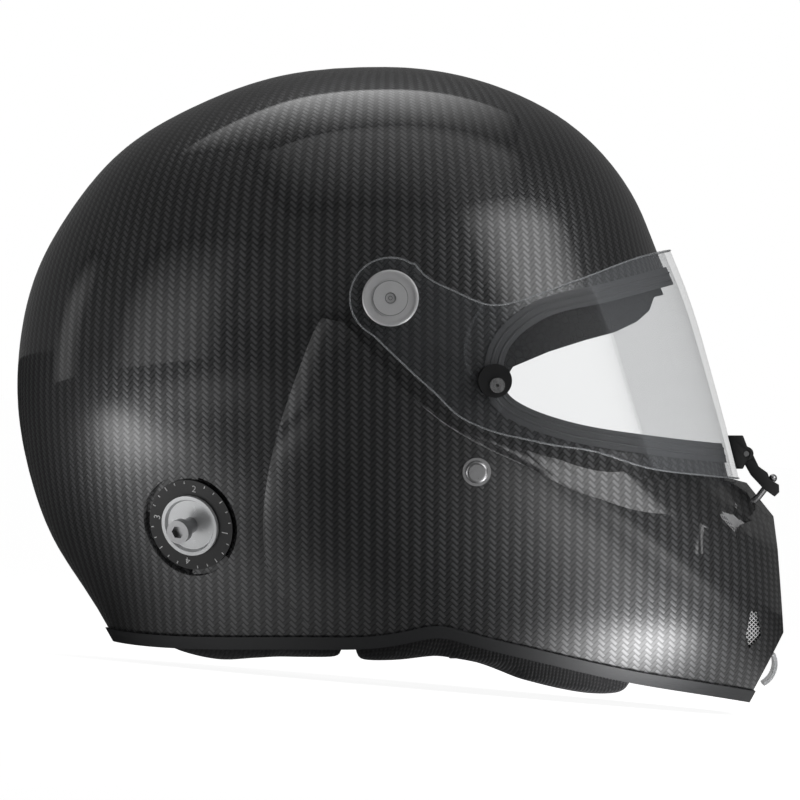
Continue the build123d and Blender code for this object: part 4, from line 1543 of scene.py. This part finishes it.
@dataclass
class Eyeport:
    """The rubber frame of the eyeport, with two raised ribs that the visor closes on."""

    kit: Kit
    lip: float = 1.2
    ribs: tuple[float, ...] = (2.4, 5.6)
    rib_radius: float = 0.65
    rib_spacing: float = 2.4
    outline_steps: int = 40
    flank_share: float = 0.99999

    def build(self) -> None:
        """Makes every piece of the sub-assembly."""
        finish = Moulding("grey_rubber", (0.115, 0.117, 0.122), roughness=0.46, grain=800.0).build()
        lifts = (self.lip, -SHELL_WALL - self.lip)
        crown = [RoundedForm(places(CROWN_SHARES), HALF_WIDTH + lift, lift) for lift in lifts]
        frame = merged_copy(self.kit.nodes["eyeport_gasket"], "eyeport_frame")
        settle_normals(frame, self.kit.worn, crown, RUBBER_REACH)
        dress(frame, finish)
        self.kit.settle(frame, "gasket_rubber", ["eyeport_gasket"])
        runs = [self.ring(crown[0], grow) for grow in self.ribs]
        ribs = wire_piece(
            "eyeport_ribs", runs, self.rib_radius, self.kit.worn, finish, spacing=self.rib_spacing
        )
        self.kit.settle(ribs, "gasket_rubber")

    def ring(self, form: RoundedForm, grow: float) -> np.ndarray:
        """The closed line at some distance outside the clear window.

        Args:
            form: The surface it lies on.
            grow: The distance in millimetres.

        Returns:
            The line, level-frame.
        """
        outline = open_spline(places(WINDOW_SHARES), self.outline_steps)
        run = np.gradient(outline, axis=0)
        run /= np.linalg.norm(run, axis=1, keepdims=True)
        moved = outline + np.stack([run[:, 1], -run[:, 0]], axis=1) * grow
        share = np.hypot(*moved.T) / form.radius(np.arctan2(moved[:, 1], moved[:, 0]))
        kept = moved[share < self.flank_share]
        halves = [form.on_surface(kept, side) for side in Side]
        return np.vstack([halves[0], halves[1][::-1], halves[0][:1]])


@dataclass
class Visor:
    """The clear visor with a painted highlight along its border, moulded step, pivots, tear-off posts and
    front latch.
    """

    kit: Kit
    gap: float = 1.8
    front_gap: float = 3.0
    thickness: float = 3.0
    border_radius: float = 0.42
    step_radius: float = 0.55
    cap_face: float = 132.1
    cap_rings: tuple[float, ...] = (7.8, 2.3, 0.9)
    cap_ring_radius: float = 0.16
    cap_ring_points: int = 61
    latch_bevel: float = 0.45
    latch_corner: float = 35.0
    latch_smoothing: float = 40.0
    step_line: tuple[Pair, ...] = (
        (41.6, -2.9), (36.2, -12.2), (33.6, -22.0), (34.9, -31.6), (41.2, -39.2), (49.0, -46.6),
        (48.1, -52.4),
    )

    def build(self) -> None:
        """Makes every piece of the sub-assembly."""
        self.sheet()
        self.pivots()
        self.posts()
        self.latch()

    def sheet(self) -> None:
        """The clear sheet, a pale bead along its border as a painted edge highlight, and the raised step
        moulded round its rear.
        """
        outer, inner = (
            RoundedForm(places(CROWN_SHARES), HALF_WIDTH + self.gap + wall, self.front_gap + wall)
            for wall in (self.thickness, 0.0)
        )
        finish = ClearMoulding("clear_visor", (0.55, 0.57, 0.60)).build()
        visor = merged_copy(self.kit.nodes["visor"], "clear_visor")
        choice = settle_normals(visor, self.kit.worn, [outer, inner])
        border = border_runs(visor, self.kit.worn, choice == 0)
        dress(visor, finish)
        self.kit.settle(visor, "visor_sheet", ["visor"], "visor")
        # Painted highlight: a pale, less clear bead along the visor's border stands in for the light caught
        # by its edge
        bright = ClearMoulding("visor_border", (0.62, 0.64, 0.66), gloss=0.12, cover=0.30).build()
        bead = wire_piece("visor_edge", border, self.border_radius, self.kit.worn, bright, spacing=2.0)
        self.kit.settle(bead, "visor_sheet", body="visor")
        line = open_spline(self.step_line, steps=10)
        runs = [outer.on_surface(line, side) for side in Side]
        step = wire_piece(
            "visor_step", runs, self.step_radius, self.kit.worn, finish, corners=10, spacing=1.2
        )
        self.kit.settle(step, "visor_sheet", body="visor")

    def pivots(self) -> None:
        """The turned caps, with thin dark rings on each face as painted shade in its groove and round its
        centre, and what lies under them.
        """
        turned = Matrix.Rotation(math.pi / 2, 4, "X") @ Matrix.Scale(MM, 4)
        axis = Matrix.Translation(self.kit.worn.pivot) @ turned
        cap = TurnedMetal("turned_cap", (0.90, 0.90, 0.91), axis, roughness=0.36, pitch=0.5).build()
        bush = Moulding("black_bush", (0.02, 0.02, 0.021), roughness=0.4).build()
        nut = PlainMetal("zinc_nut", (0.56, 0.56, 0.57)).build()
        # Painted shade: thin dark rings on each cap's face stand in for the shade in its groove and round its
        # centre
        groove = Moulding("cap_groove", (0.16, 0.16, 0.165), roughness=0.4).build()
        turns = np.linspace(0, math.tau, self.cap_ring_points)
        for side in Side:
            face = np.full(self.cap_ring_points, -side.value * self.cap_face)
            rings = [
                np.stack([radius * np.cos(turns), face, radius * np.sin(turns)], axis=1)
                for radius in self.cap_rings
            ]
            step_shade_rings = wire_piece(
                f"cap_rings_{side.word}", rings, self.cap_ring_radius, self.kit.worn, groove,
                corners=6, spacing=0.8,
            )
            self.kit.settle(step_shade_rings, "bright_aluminium")
            self.kit.keep(cap, f"pivot_cap_{side.word}")
            self.kit.keep(bush, f"pivot_bush_{side.word}")
            self.kit.keep(nut, f"pivot_nut_{side.word}")

    def posts(self) -> None:
        """The eccentric tear-off posts and their eyelet screws."""
        post = Moulding("post_black", (0.012, 0.012, 0.013), roughness=0.34, grain=1400.0).build()
        screw = PlainMetal("eyelet_steel", (0.74, 0.74, 0.75), roughness=0.2).build()
        for side in Side:
            self.kit.keep(post, f"tear_off_post_{side.word}")
            self.kit.keep(screw, f"tear_off_screw_{side.word}")

    def latch(self) -> None:
        """The lever, its bracket and pin, and the ball stud."""
        black = Moulding(
            "latch_black", (0.016, 0.016, 0.017), roughness=0.46, grain=1100.0, depth=0.00005
        ).build()
        for node, body in {"latch_lever": "latch", "latch_bracket": "visor"}.items():
            piece = merged_copy(self.kit.nodes[node], f"{node}_eased", flatten=True)
            bevel = piece.modifiers.new("eased", "BEVEL")
            bevel.width = self.latch_bevel * MM
            bevel.segments = 2
            bevel.limit_method = "ANGLE"
            bevel.angle_limit = math.radians(self.latch_corner)
            bevel.harden_normals = False
            piece = baked_object(piece, f"{node}_eased")
            smooth_by_angle(piece, self.latch_smoothing)
            dress(piece, black)
            self.kit.settle(piece, "latch_black", [node], body)
        steel = PlainMetal("stud_steel", (0.62, 0.62, 0.63), roughness=0.22).build()
        self.kit.keep(steel, "latch_pin", "latch_stud")


@dataclass
class TetherAnchors:
    """The rear tether posts, each in a dished seat inside a black ring with plain ticks and numbers."""

    kit: Kit
    ring_top: float = -1.8
    tick_radius: float = 19.6
    number_radius: float = 16.9
    number_size: float = 4.4
    number_height: float = 0.06
    marks_round: int = 24
    marks_a_number: int = 6
    marks_a_long_tick: int = 3
    long_tick: float = 1.9
    short_tick: float = 1.2
    tick_width: float = 0.42
    tick_height: float = 0.12
    tick_lift: float = 0.04

    def build(self) -> None:
        """Makes every piece of the sub-assembly."""
        black = Moulding(
            "ring_black", (0.006, 0.006, 0.007), roughness=0.42, grain=1200.0, coat=0.25
        ).build()
        post = PlainMetal("post_steel", (0.46, 0.46, 0.47), roughness=0.24).build()
        nut = PlainMetal("anchor_nut_steel", (0.56, 0.56, 0.57)).build()
        print_white = Moulding("print_white", (0.92, 0.92, 0.92), roughness=0.5).build()
        for side in Side:
            frame = self.kit.anchor_frame(side) @ Matrix.Scale(MM, 4)
            dish = TurnedMetal(
                f"turned_dish_{side.word}", (0.83, 0.84, 0.85), frame, roughness=0.16, pitch=0.6
            ).build()
            self.kit.keep(dish, f"anchor_dish_{side.word}")
            self.kit.keep(black, f"anchor_ring_{side.word}")
            self.kit.keep(post, f"anchor_post_{side.word}")
            self.kit.keep(nut, f"anchor_nut_{side.word}")
            self.marks(side, frame, print_white)

    def marks(self, side: Side, frame: Matrix, material: bpy.types.Material) -> None:
        """Raises plain ticks and quarter numbers on the ring.

        Args:
            side: The wearer's side.
            frame: The matrix from the anchor's millimetres to the row's metres.
            material: The print's finish.
        """
        parts = []
        for step in range(self.marks_round):
            turned = frame @ Matrix.Rotation(math.tau * step / self.marks_round, 4, "Z")
            if step % self.marks_a_number == 0:
                curve = bpy.data.curves.new("number", "FONT")
                curve.body = str(step // self.marks_a_number + 1)
                curve.size = self.number_size
                curve.align_x, curve.align_y = "CENTER", "CENTER"
                curve.extrude = self.number_height
                text = bpy.data.objects.new("number", curve)
                bpy.context.scene.collection.objects.link(text)
                number = baked_object(text, "number")
                spot = Matrix.Translation((self.number_radius, 0, self.ring_top + self.number_height))
                number.data.transform(turned @ spot @ Matrix.Rotation(-math.pi / 2, 4, "Z"))
                parts.append(number)
                continue
            work = bmesh.new()
            bmesh.ops.create_cube(work, size=1.0)
            long = self.long_tick if step % self.marks_a_long_tick == 0 else self.short_tick
            spot = Matrix.Translation((self.tick_radius, 0, self.ring_top + self.tick_lift))
            size = Matrix.Diagonal((long, self.tick_width, self.tick_height, 1))
            bmesh.ops.transform(work, verts=work.verts, matrix=turned @ spot @ size)
            mesh = bpy.data.meshes.new("tick")
            work.to_mesh(mesh)
            work.free()
            parts.append(fresh_object("tick", mesh))
        marks = join_objects(f"ring_marks_{side.word}", parts)
        dress(marks, material)
        self.kit.settle(marks, "label_black")


@dataclass
class Padding:
    """The soft lining: remeshed pads in ribbed knit. A cloth solve puffs the cheek pads and the neck roll."""

    kit: Kit
    voxel: float = 5.0
    shrink: float = 1.2
    puff_cap: float = 2.4
    pressure: float = 4.0
    edge_level: float = -147.0
    edge_fall: float = 0.152
    ease: float = 9.0
    drop: Pair = (3.0, 5.8)
    drop_between: Pair = (-50.0, -10.0)
    solve_frames: int = 20
    softening: int = 4
    brow_voxel: float = 2.4
    brow_shrink: float = 0.2
    lining_voxel: float = 3.4
    lining_shrink: float = 0.1

    def build(self) -> None:
        """Makes every piece of the sub-assembly."""
        level = self.kit.worn.matrix
        knit = RibbedKnit("ribbed_knit", (0.036, 0.036, 0.038), level).build()
        plain = RibbedKnit("fine_knit", (0.028, 0.028, 0.030), level, rib=1.1, stitch=0.9).build()
        for side in Side:
            self.pad(f"cheek_pad_{side.word}", f"cheek_cushion_{side.word}", knit, self.voxel, self.shrink)
        self.pad("neck_roll", "neck_cushion", knit, self.voxel, self.shrink)
        self.pad("brow_pad", "brow_cushion", plain, self.brow_voxel, self.brow_shrink)
        self.pad("comfort_liner", "head_lining", plain, self.lining_voxel, self.lining_shrink)
        foam = BeadedFoam("black_foam", (0.030, 0.030, 0.031)).build()
        self.kit.keep(foam, "crown_liner", "chin_liner")

    def pad(self, node: str, name: str, material: bpy.types.Material, voxel: float, shrink: float) -> None:
        """Makes one pad from its CAD solid. The thin ones, which have finer cells, get no cloth solve.

        Args:
            node: The CAD node.
            name: The pad's name.
            material: Its fabric.
            voxel: The remesh's cell in millimetres.
            shrink: How much smaller it starts, in millimetres.
        """
        pad = merged_copy(self.kit.nodes[node], name)
        remesh = pad.modifiers.new("remesh", "REMESH")
        remesh.mode = "VOXEL"
        remesh.voxel_size = voxel * MM
        soften = pad.modifiers.new("soften", "SMOOTH")
        soften.factor = 0.5
        soften.iterations = self.softening
        pad = baked_object(pad, name)
        self.draw_in(pad, shrink)
        if voxel >= self.voxel:
            pad = self.puff(pad, name)
        self.hang(pad)
        finer = pad.modifiers.new("finer", "SUBSURF")
        finer.levels = finer.render_levels = 1
        pad = baked_object(pad, name)
        pad.data.shade_smooth()
        dress(pad, material)
        self.kit.settle(pad, "pad_fabric", [node])

    def hang(self, pad: bpy.types.Object) -> None:
        """Lets whatever is below the rubber edge hang lower, as stuffed cloth does.

        Args:
            pad: The pad.
        """
        level = self.kit.worn.to_level(vectors(pad.data.vertices, "co"))
        start = self.edge_level - self.edge_fall * np.maximum(level[:, 0], 0.0)
        drop = np.interp(level[:, 0], self.drop_between, self.drop)
        level[:, 2] -= drop * np.clip((start - level[:, 2]) / self.ease, 0.0, 1.0)
        pad.data.vertices.foreach_set("co", self.kit.worn.to_row(level).ravel())
        pad.data.update()

    def draw_in(self, pad: bpy.types.Object, amount: float) -> None:
        """Moves every point of a pad inwards.

        Args:
            pad: The pad.
            amount: How far, in millimetres.
        """
        work = bmesh.new()
        work.from_mesh(pad.data)
        work.normal_update()
        for vertex in work.verts:
            vertex.co -= vertex.normal * (amount * MM)
        work.to_mesh(pad.data)
        work.free()

    def puff(self, pad: bpy.types.Object, name: str) -> bpy.types.Object:
        """Inflates a pad with a short cloth solve and caps how far it moved.

        Args:
            pad: The pad.
            name: Its name.

        Returns:
            The puffed pad.
        """
        before = vectors(pad.data.vertices, "co")
        cloth = pad.modifiers.new("puff", "CLOTH")
        cloth.settings.use_pressure = True
        cloth.settings.uniform_pressure_force = self.pressure
        cloth.settings.effector_weights.gravity = 0.0
        cloth.settings.quality = 4
        cloth.collision_settings.use_collision = False
        scene = bpy.context.scene
        for number in range(self.solve_frames):
            scene.frame_set(number + 1)
        pad = baked_object(pad, name)
        scene.frame_set(1)
        moved = vectors(pad.data.vertices, "co") - before
        far = np.linalg.norm(moved, axis=1, keepdims=True)
        moved *= np.minimum(1.0, self.puff_cap * MM / np.maximum(far, TINY))
        pad.data.vertices.foreach_set("co", (before + moved).ravel())
        pad.data.update()
        return pad


@dataclass
class ChinStrap:
    """The webbing strap with its rivets, hangers and two D-rings."""

    kit: Kit
    width: float = 24.0
    thickness: float = 1.8
    middle: float = 0.1110 * LENGTH
    level: float = -0.5500 * HEIGHT
    ends: tuple[Pair, ...] = ((-1, 0.180), (1, 0.400))
    ring_wire: float = 1.9
    ring_pitch: float = 4.6
    loop_gap: float = 0.05
    loop_steps: int = 48
    edge_round: float = 0.45
    seam_inset: float = 2.2
    stitch_size: Triple = (2.2, 0.6, 0.3)
    stitch_spacing: float = 3.0
    stitch_lift: float = 0.02
    seam_reach: int = 16
    seam_margin: int = 2

    def build(self) -> None:
        """Makes every piece of the sub-assembly."""
        webbing = Webbing("strap_webbing", (0.040, 0.040, 0.042)).build()
        thread = Moulding("strap_thread", (0.10, 0.10, 0.105), roughness=0.7).build()
        steel = PlainMetal("ring_steel", (0.60, 0.60, 0.61), roughness=0.2).build()
        dome = PlainMetal("rivet_steel", (0.66, 0.66, 0.67), roughness=0.22).build()
        for side in Side:
            self.kit.keep(dome, f"strap_rivet_{side.word}")
            self.kit.keep(steel, f"strap_hanger_{side.word}")
            self.half(side, webbing, thread)
        self.kit.keep(steel, "d_ring_upper", "d_ring_lower")

    def half(self, side: Side, webbing: bpy.types.Material, thread: bpy.types.Material) -> None:
        """Makes one half of the strap, with its stitching.

        Args:
            side: The wearer's side.
            webbing: The strap's finish.
            thread: The stitches' finish.
        """
        end = dict(self.ends)[side.value] * HALF_WIDTH
        spots = [(side.value * y * HALF_WIDTH, z * HEIGHT) for y, z in STRAP_DROP_SHARES]
        line = open_spline(spots + [(side.value * end, self.level)], steps=10)
        parts = [self.ribbon(line, False)]
        if side is Side.LEFT:
            radius = self.ring_wire + self.loop_gap + self.thickness / 2
            eye = end - self.ring_wire - self.loop_gap - self.thickness
            turns = np.linspace(0, math.tau, self.loop_steps + 1)[:-1]
            lift = np.where(np.sin(turns) >= 0, 1, -1) * self.ring_pitch / 2
            ups = self.level + lift + radius * np.sin(turns)
            loop = np.stack([eye + radius * np.cos(turns), ups], axis=1)
            parts.append(self.ribbon(loop, True))
        strap = join_objects(f"webbing_{side.word}", parts)
        dress(strap, webbing)
        self.kit.settle(strap, "webbing", [f"chin_strap_{side.word}"])
        # The seam runs along the last stretch, short of the end
        seam = line[-self.seam_reach:-self.seam_margin]
        rows = []
        inset = self.width / 2 - self.seam_inset
        lift = self.thickness / 2 + self.stitch_lift
        for edge in (-inset, inset):
            for face in (lift, -lift):
                rows.append(np.array([(self.middle + edge, y, z + face) for y, z in seam]))
        stitches = bead_row(
            f"strap_stitches_{side.word}", rows, self.stitch_size, self.stitch_spacing, self.kit.worn, thread
        )
        self.kit.settle(stitches, "webbing")

    def ribbon(self, line: np.ndarray, closed: bool) -> bpy.types.Object:
        """Sweeps the webbing's section along a line across the helmet.

        Args:
            line: Level-frame Y and Z of the middle line.
            closed: Whether the line ends where it starts.

        Returns:
            The ribbon, with its cloth UV map in millimetres.
        """
        half, thick, ease = self.width / 2, self.thickness / 2, self.edge_round
        section = [
            (-half + ease, thick), (half - ease, thick), (half, thick - ease), (half, ease - thick),
            (half - ease, -thick), (ease - half, -thick), (-half, ease - thick), (-half, thick - ease),
        ]
        count, corners = len(line), len(section)
        if closed:
            heading = np.roll(line, -1, axis=0) - np.roll(line, 1, axis=0)
        else:
            heading = np.gradient(line, axis=0)
        heading /= np.linalg.norm(heading, axis=1, keepdims=True)
        out = np.stack([-heading[:, 1], heading[:, 0]], axis=1)
        points = [
            (self.middle + across, *(line[n] + out[n] * lift))
            for n in range(count)
            for across, lift in section
        ]
        faces, flats = [], []
        travel = np.concatenate([[0], np.cumsum(np.linalg.norm(np.diff(line, axis=0), axis=1))])
        for n in range(count if closed else count - 1):
            there = (n + 1) % count
            ahead = travel[n + 1] if n + 1 < count else travel[n] + np.linalg.norm(line[0] - line[n])
            for c in range(corners):
                d = (c + 1) % corners
                faces.append((n * corners + c, n * corners + d, there * corners + d, there * corners + c))
                flats += [(travel[n], section[c][0]), (travel[n], section[d][0]),
                          (ahead, section[d][0]), (ahead, section[c][0])]
        if not closed:
            for n in (0, count - 1):
                faces.append([n * corners + c for c in range(corners)])
                flats += [(lift, across) for across, lift in section]
        ribbon = mesh_object("ribbon", np.array(points), faces, self.kit.worn)
        layer = ribbon.data.uv_layers.new(name="cloth")
        layer.data.foreach_set("uv", np.array(flats, dtype=np.float32).ravel())
        work = bmesh.new()
        work.from_mesh(ribbon.data)
        bmesh.ops.recalc_face_normals(work, faces=work.faces)
        work.to_mesh(ribbon.data)
        work.free()
        smooth_by_angle(ribbon, degrees=50)
        return ribbon


@dataclass
class ChinLip:
    """The clear lip that curls off the chin's lower corner."""

    kit: Kit

    def build(self) -> None:
        """Finishes the lip."""
        clear = ClearMoulding("clear_lip", (0.62, 0.64, 0.66), gloss=0.08, cover=0.45).build()
        self.kit.keep(clear, "chin_deflector")


@dataclass(frozen=True)
class Panel:
    """A glowing cloth: which way it stands, how large, how bright and how softly it ends."""

    name: str
    towards: Triple
    size: Pair
    power: float
    fade: Triple


@dataclass
class Studio:
    """The floor, the lights and the camera."""

    kit: Kit
    distance: float = 8.0
    floor_level: float = -0.0065
    picture_width: float = 0.364
    aim: Pair = (4.28, -45.6)
    sensor: float = 36.0
    floor_radius: float = 60.0
    panel_middle: float = 0.14
    panel_distance: float = 1.3
    room: float = 0.09
    peak: float = 12.0
    patches: tuple[tuple[float, ...], ...] = (
        (0.18, -0.33, 0.085, 0.28, 1.3), (0.148, -0.120, 0.045, 0.022, 8.0), (-0.38, -0.21, 0.14, 0.09, 3.6),
        (-0.46, -0.45, 0.16, 0.30, 0.7), (0.50, -0.42, 0.20, 0.30, 1.3), (-0.14, -0.13, 0.10, 0.06, 0.5),
    )
    boxes: tuple[Panel, ...] = (
        Panel("rim_cloth", (-0.12, 0.36, 0.93), (1.4, 0.8), power=1.9, fade=(0.12, 1.8, 0.8)),
        Panel("top_cloth", (0.05, -0.34, 0.94), (1.7, 1.5), power=0.55, fade=(1.6, 0.4, 0.3)),
        Panel("rear_cloth", (-0.78, -0.62, 0.06), (0.95, 1.1), power=0.7, fade=(0.7, 1.0, 0.6)),
        Panel("tail_cloth", (-0.98, 0.16, 0.05), (0.45, 0.9), power=0.6, fade=(0.6, 0.7, 0.8)),
        Panel("front_cloth", (0.68, -0.52, 0.45), (1.3, 1.1), power=2.4, fade=(0.6, 0.6, 0.7)),
    )

    def build(self) -> None:
        """Sets up the studio."""
        scene = bpy.context.scene
        scene.view_settings.view_transform = "Standard"
        scene.view_settings.look = "None"
        self.floor()
        self.surround()
        self.panels()
        self.camera()

    def floor(self) -> None:
        """A wide floor, plain and pale to the camera. The gloss sees it dark, with soft bright patches."""
        work = bmesh.new()
        level = Matrix.Translation((0, 0, self.floor_level))
        bmesh.ops.create_circle(work, cap_ends=True, segments=96, radius=self.floor_radius, matrix=level)
        mesh = bpy.data.meshes.new("studio_floor")
        work.to_mesh(mesh)
        work.free()
        floor = fresh_object("studio_floor", mesh)
        sheet = Sheet("pale_floor")
        across, deep, _ = sheet.split(sheet.place())
        glows = []
        for spot_x, spot_y, wide, long, power in self.patches:
            over, back = (across - spot_x) / wide, (deep - spot_y) / long
            glows.append((0.0 - over * over - back * back).maths("EXPONENT") * (power / self.peak))
        glow = sum(glows, 0.0)
        pale = sheet.principled(
            Base_Color=(0.80, 0.80, 0.80),
            Roughness=0.95,
            Emission_Color=(1.0, 1.0, 1.0),
            Emission_Strength=0.92,
        )
        lit = sheet.principled(
            Base_Color=(0.10, 0.10, 0.10),
            Roughness=0.95,
            Emission_Color=sheet.between(glow, (0, 0, 0), (self.peak, self.peak, self.peak)),
            Emission_Strength=1.0,
        )
        path = Wire(sheet, sheet.add("ShaderNodeLightPath", {}, {}).outputs["Is Camera Ray"])
        dress(floor, sheet.mixed(path, lit, pale))

    def surround(self) -> None:
        """A white backdrop to the eye, and a dark room to the gloss."""
        world = bpy.data.worlds.new("studio")
        world.use_nodes = True
        tree = world.node_tree
        tree.nodes.clear()
        path = tree.nodes.new("ShaderNodeLightPath")
        mix = tree.nodes.new("ShaderNodeMixShader")
        out = tree.nodes.new("ShaderNodeOutputWorld")
        tree.links.new(path.outputs["Is Camera Ray"], mix.inputs[0])
        for number, strength in ((1, self.room), (2, 1.0)):
            backdrop = tree.nodes.new("ShaderNodeBackground")
            backdrop.inputs["Color"].default_value = (1, 1, 1, 1)
            backdrop.inputs["Strength"].default_value = strength
            tree.links.new(backdrop.outputs[0], mix.inputs[number])
        tree.links.new(mix.outputs[0], out.inputs["Surface"])
        bpy.context.scene.world = world

    def panels(self) -> None:
        """Glowing cloths round the helmet, each fading softly towards its edges."""
        middle = Vector((0.0, 0.0, self.panel_middle))
        turns = ((-1, -1), (-1, 1), (1, 1), (1, -1))
        for panel in self.boxes:
            back = Vector(panel.towards).normalized()
            side = back.cross(Vector((0, 0, 1))).normalized()
            rise = side.cross(back)
            spot = middle + back * self.panel_distance
            half_w, half_h = panel.size[0] / 2, panel.size[1] / 2
            corners = [spot + side * (a * half_w) + rise * (b * half_h) for a, b in turns]
            mesh = bpy.data.meshes.new(panel.name)
            mesh.from_pydata([tuple(corner) for corner in corners], [], [(0, 1, 2, 3)])
            layer = mesh.uv_layers.new(name="cloth")
            layer.data.foreach_set("uv", [number for turn in turns for number in turn])
            cloth = fresh_object(panel.name, mesh)
            sheet = Sheet(panel.name)
            u, v, _ = sheet.flat()
            low = ((v + 1.0) / panel.fade[0]).maths("MINIMUM", 1.0)
            high = ((1.0 - v) / panel.fade[1]).maths("MINIMUM", 1.0)
            ends = ((1.0 - u.size()) / panel.fade[2]).maths("MINIMUM", 1.0)
            glow = low * high * ends
            material = sheet.surface(
                Base_Color=(0.0, 0.0, 0.0),
                Roughness=1.0,
                Specular_IOR_Level=0.0,
                Emission_Color=sheet.between(glow, (0, 0, 0), (1, 1, 1)),
                Emission_Strength=panel.power,
            )
            dress(cloth, material)
            cloth.visible_camera = False
            cloth.visible_shadow = False

    def camera(self) -> None:
        """The camera, square on to the wearer's right, rolled with the helmet's lean."""
        data = bpy.data.cameras.new("camera")
        data.sensor_width = self.sensor
        data.lens = self.sensor * self.distance / self.picture_width
        data.clip_end = 200.0
        camera = bpy.data.objects.new("camera", data)
        bpy.context.scene.collection.objects.link(camera)
        level = self.kit.worn.matrix
        right = (level.to_3x3() @ Vector((1, 0, 0))).normalized()
        up = (level.to_3x3() @ Vector((0, 0, 1))).normalized()
        back = Vector((0, -1, 0))
        grid = Matrix((right, up, back)).transposed().to_4x4()
        spot = level @ Vector((self.aim[0], -self.distance / MM, self.aim[1]))
        camera.matrix_world = Matrix.Translation(spot) @ grid
        bpy.context.scene.camera = camera


def main() -> None:
    """Builds every sub-assembly and the studio."""
    logging.basicConfig(level=logging.INFO, format="%(message)s")
    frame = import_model()
    kit = Kit(frame["nodes"], Worn.read(frame["joints"]), frame["record"])
    for part in (
        Shell(kit), Eyeport(kit), Visor(kit), TetherAnchors(kit), Padding(kit), ChinStrap(kit), ChinLip(kit),
        Studio(kit),
    ):
        part.build()
    bpy.context.view_layer.update()


if __name__ == "__main__":
    main()
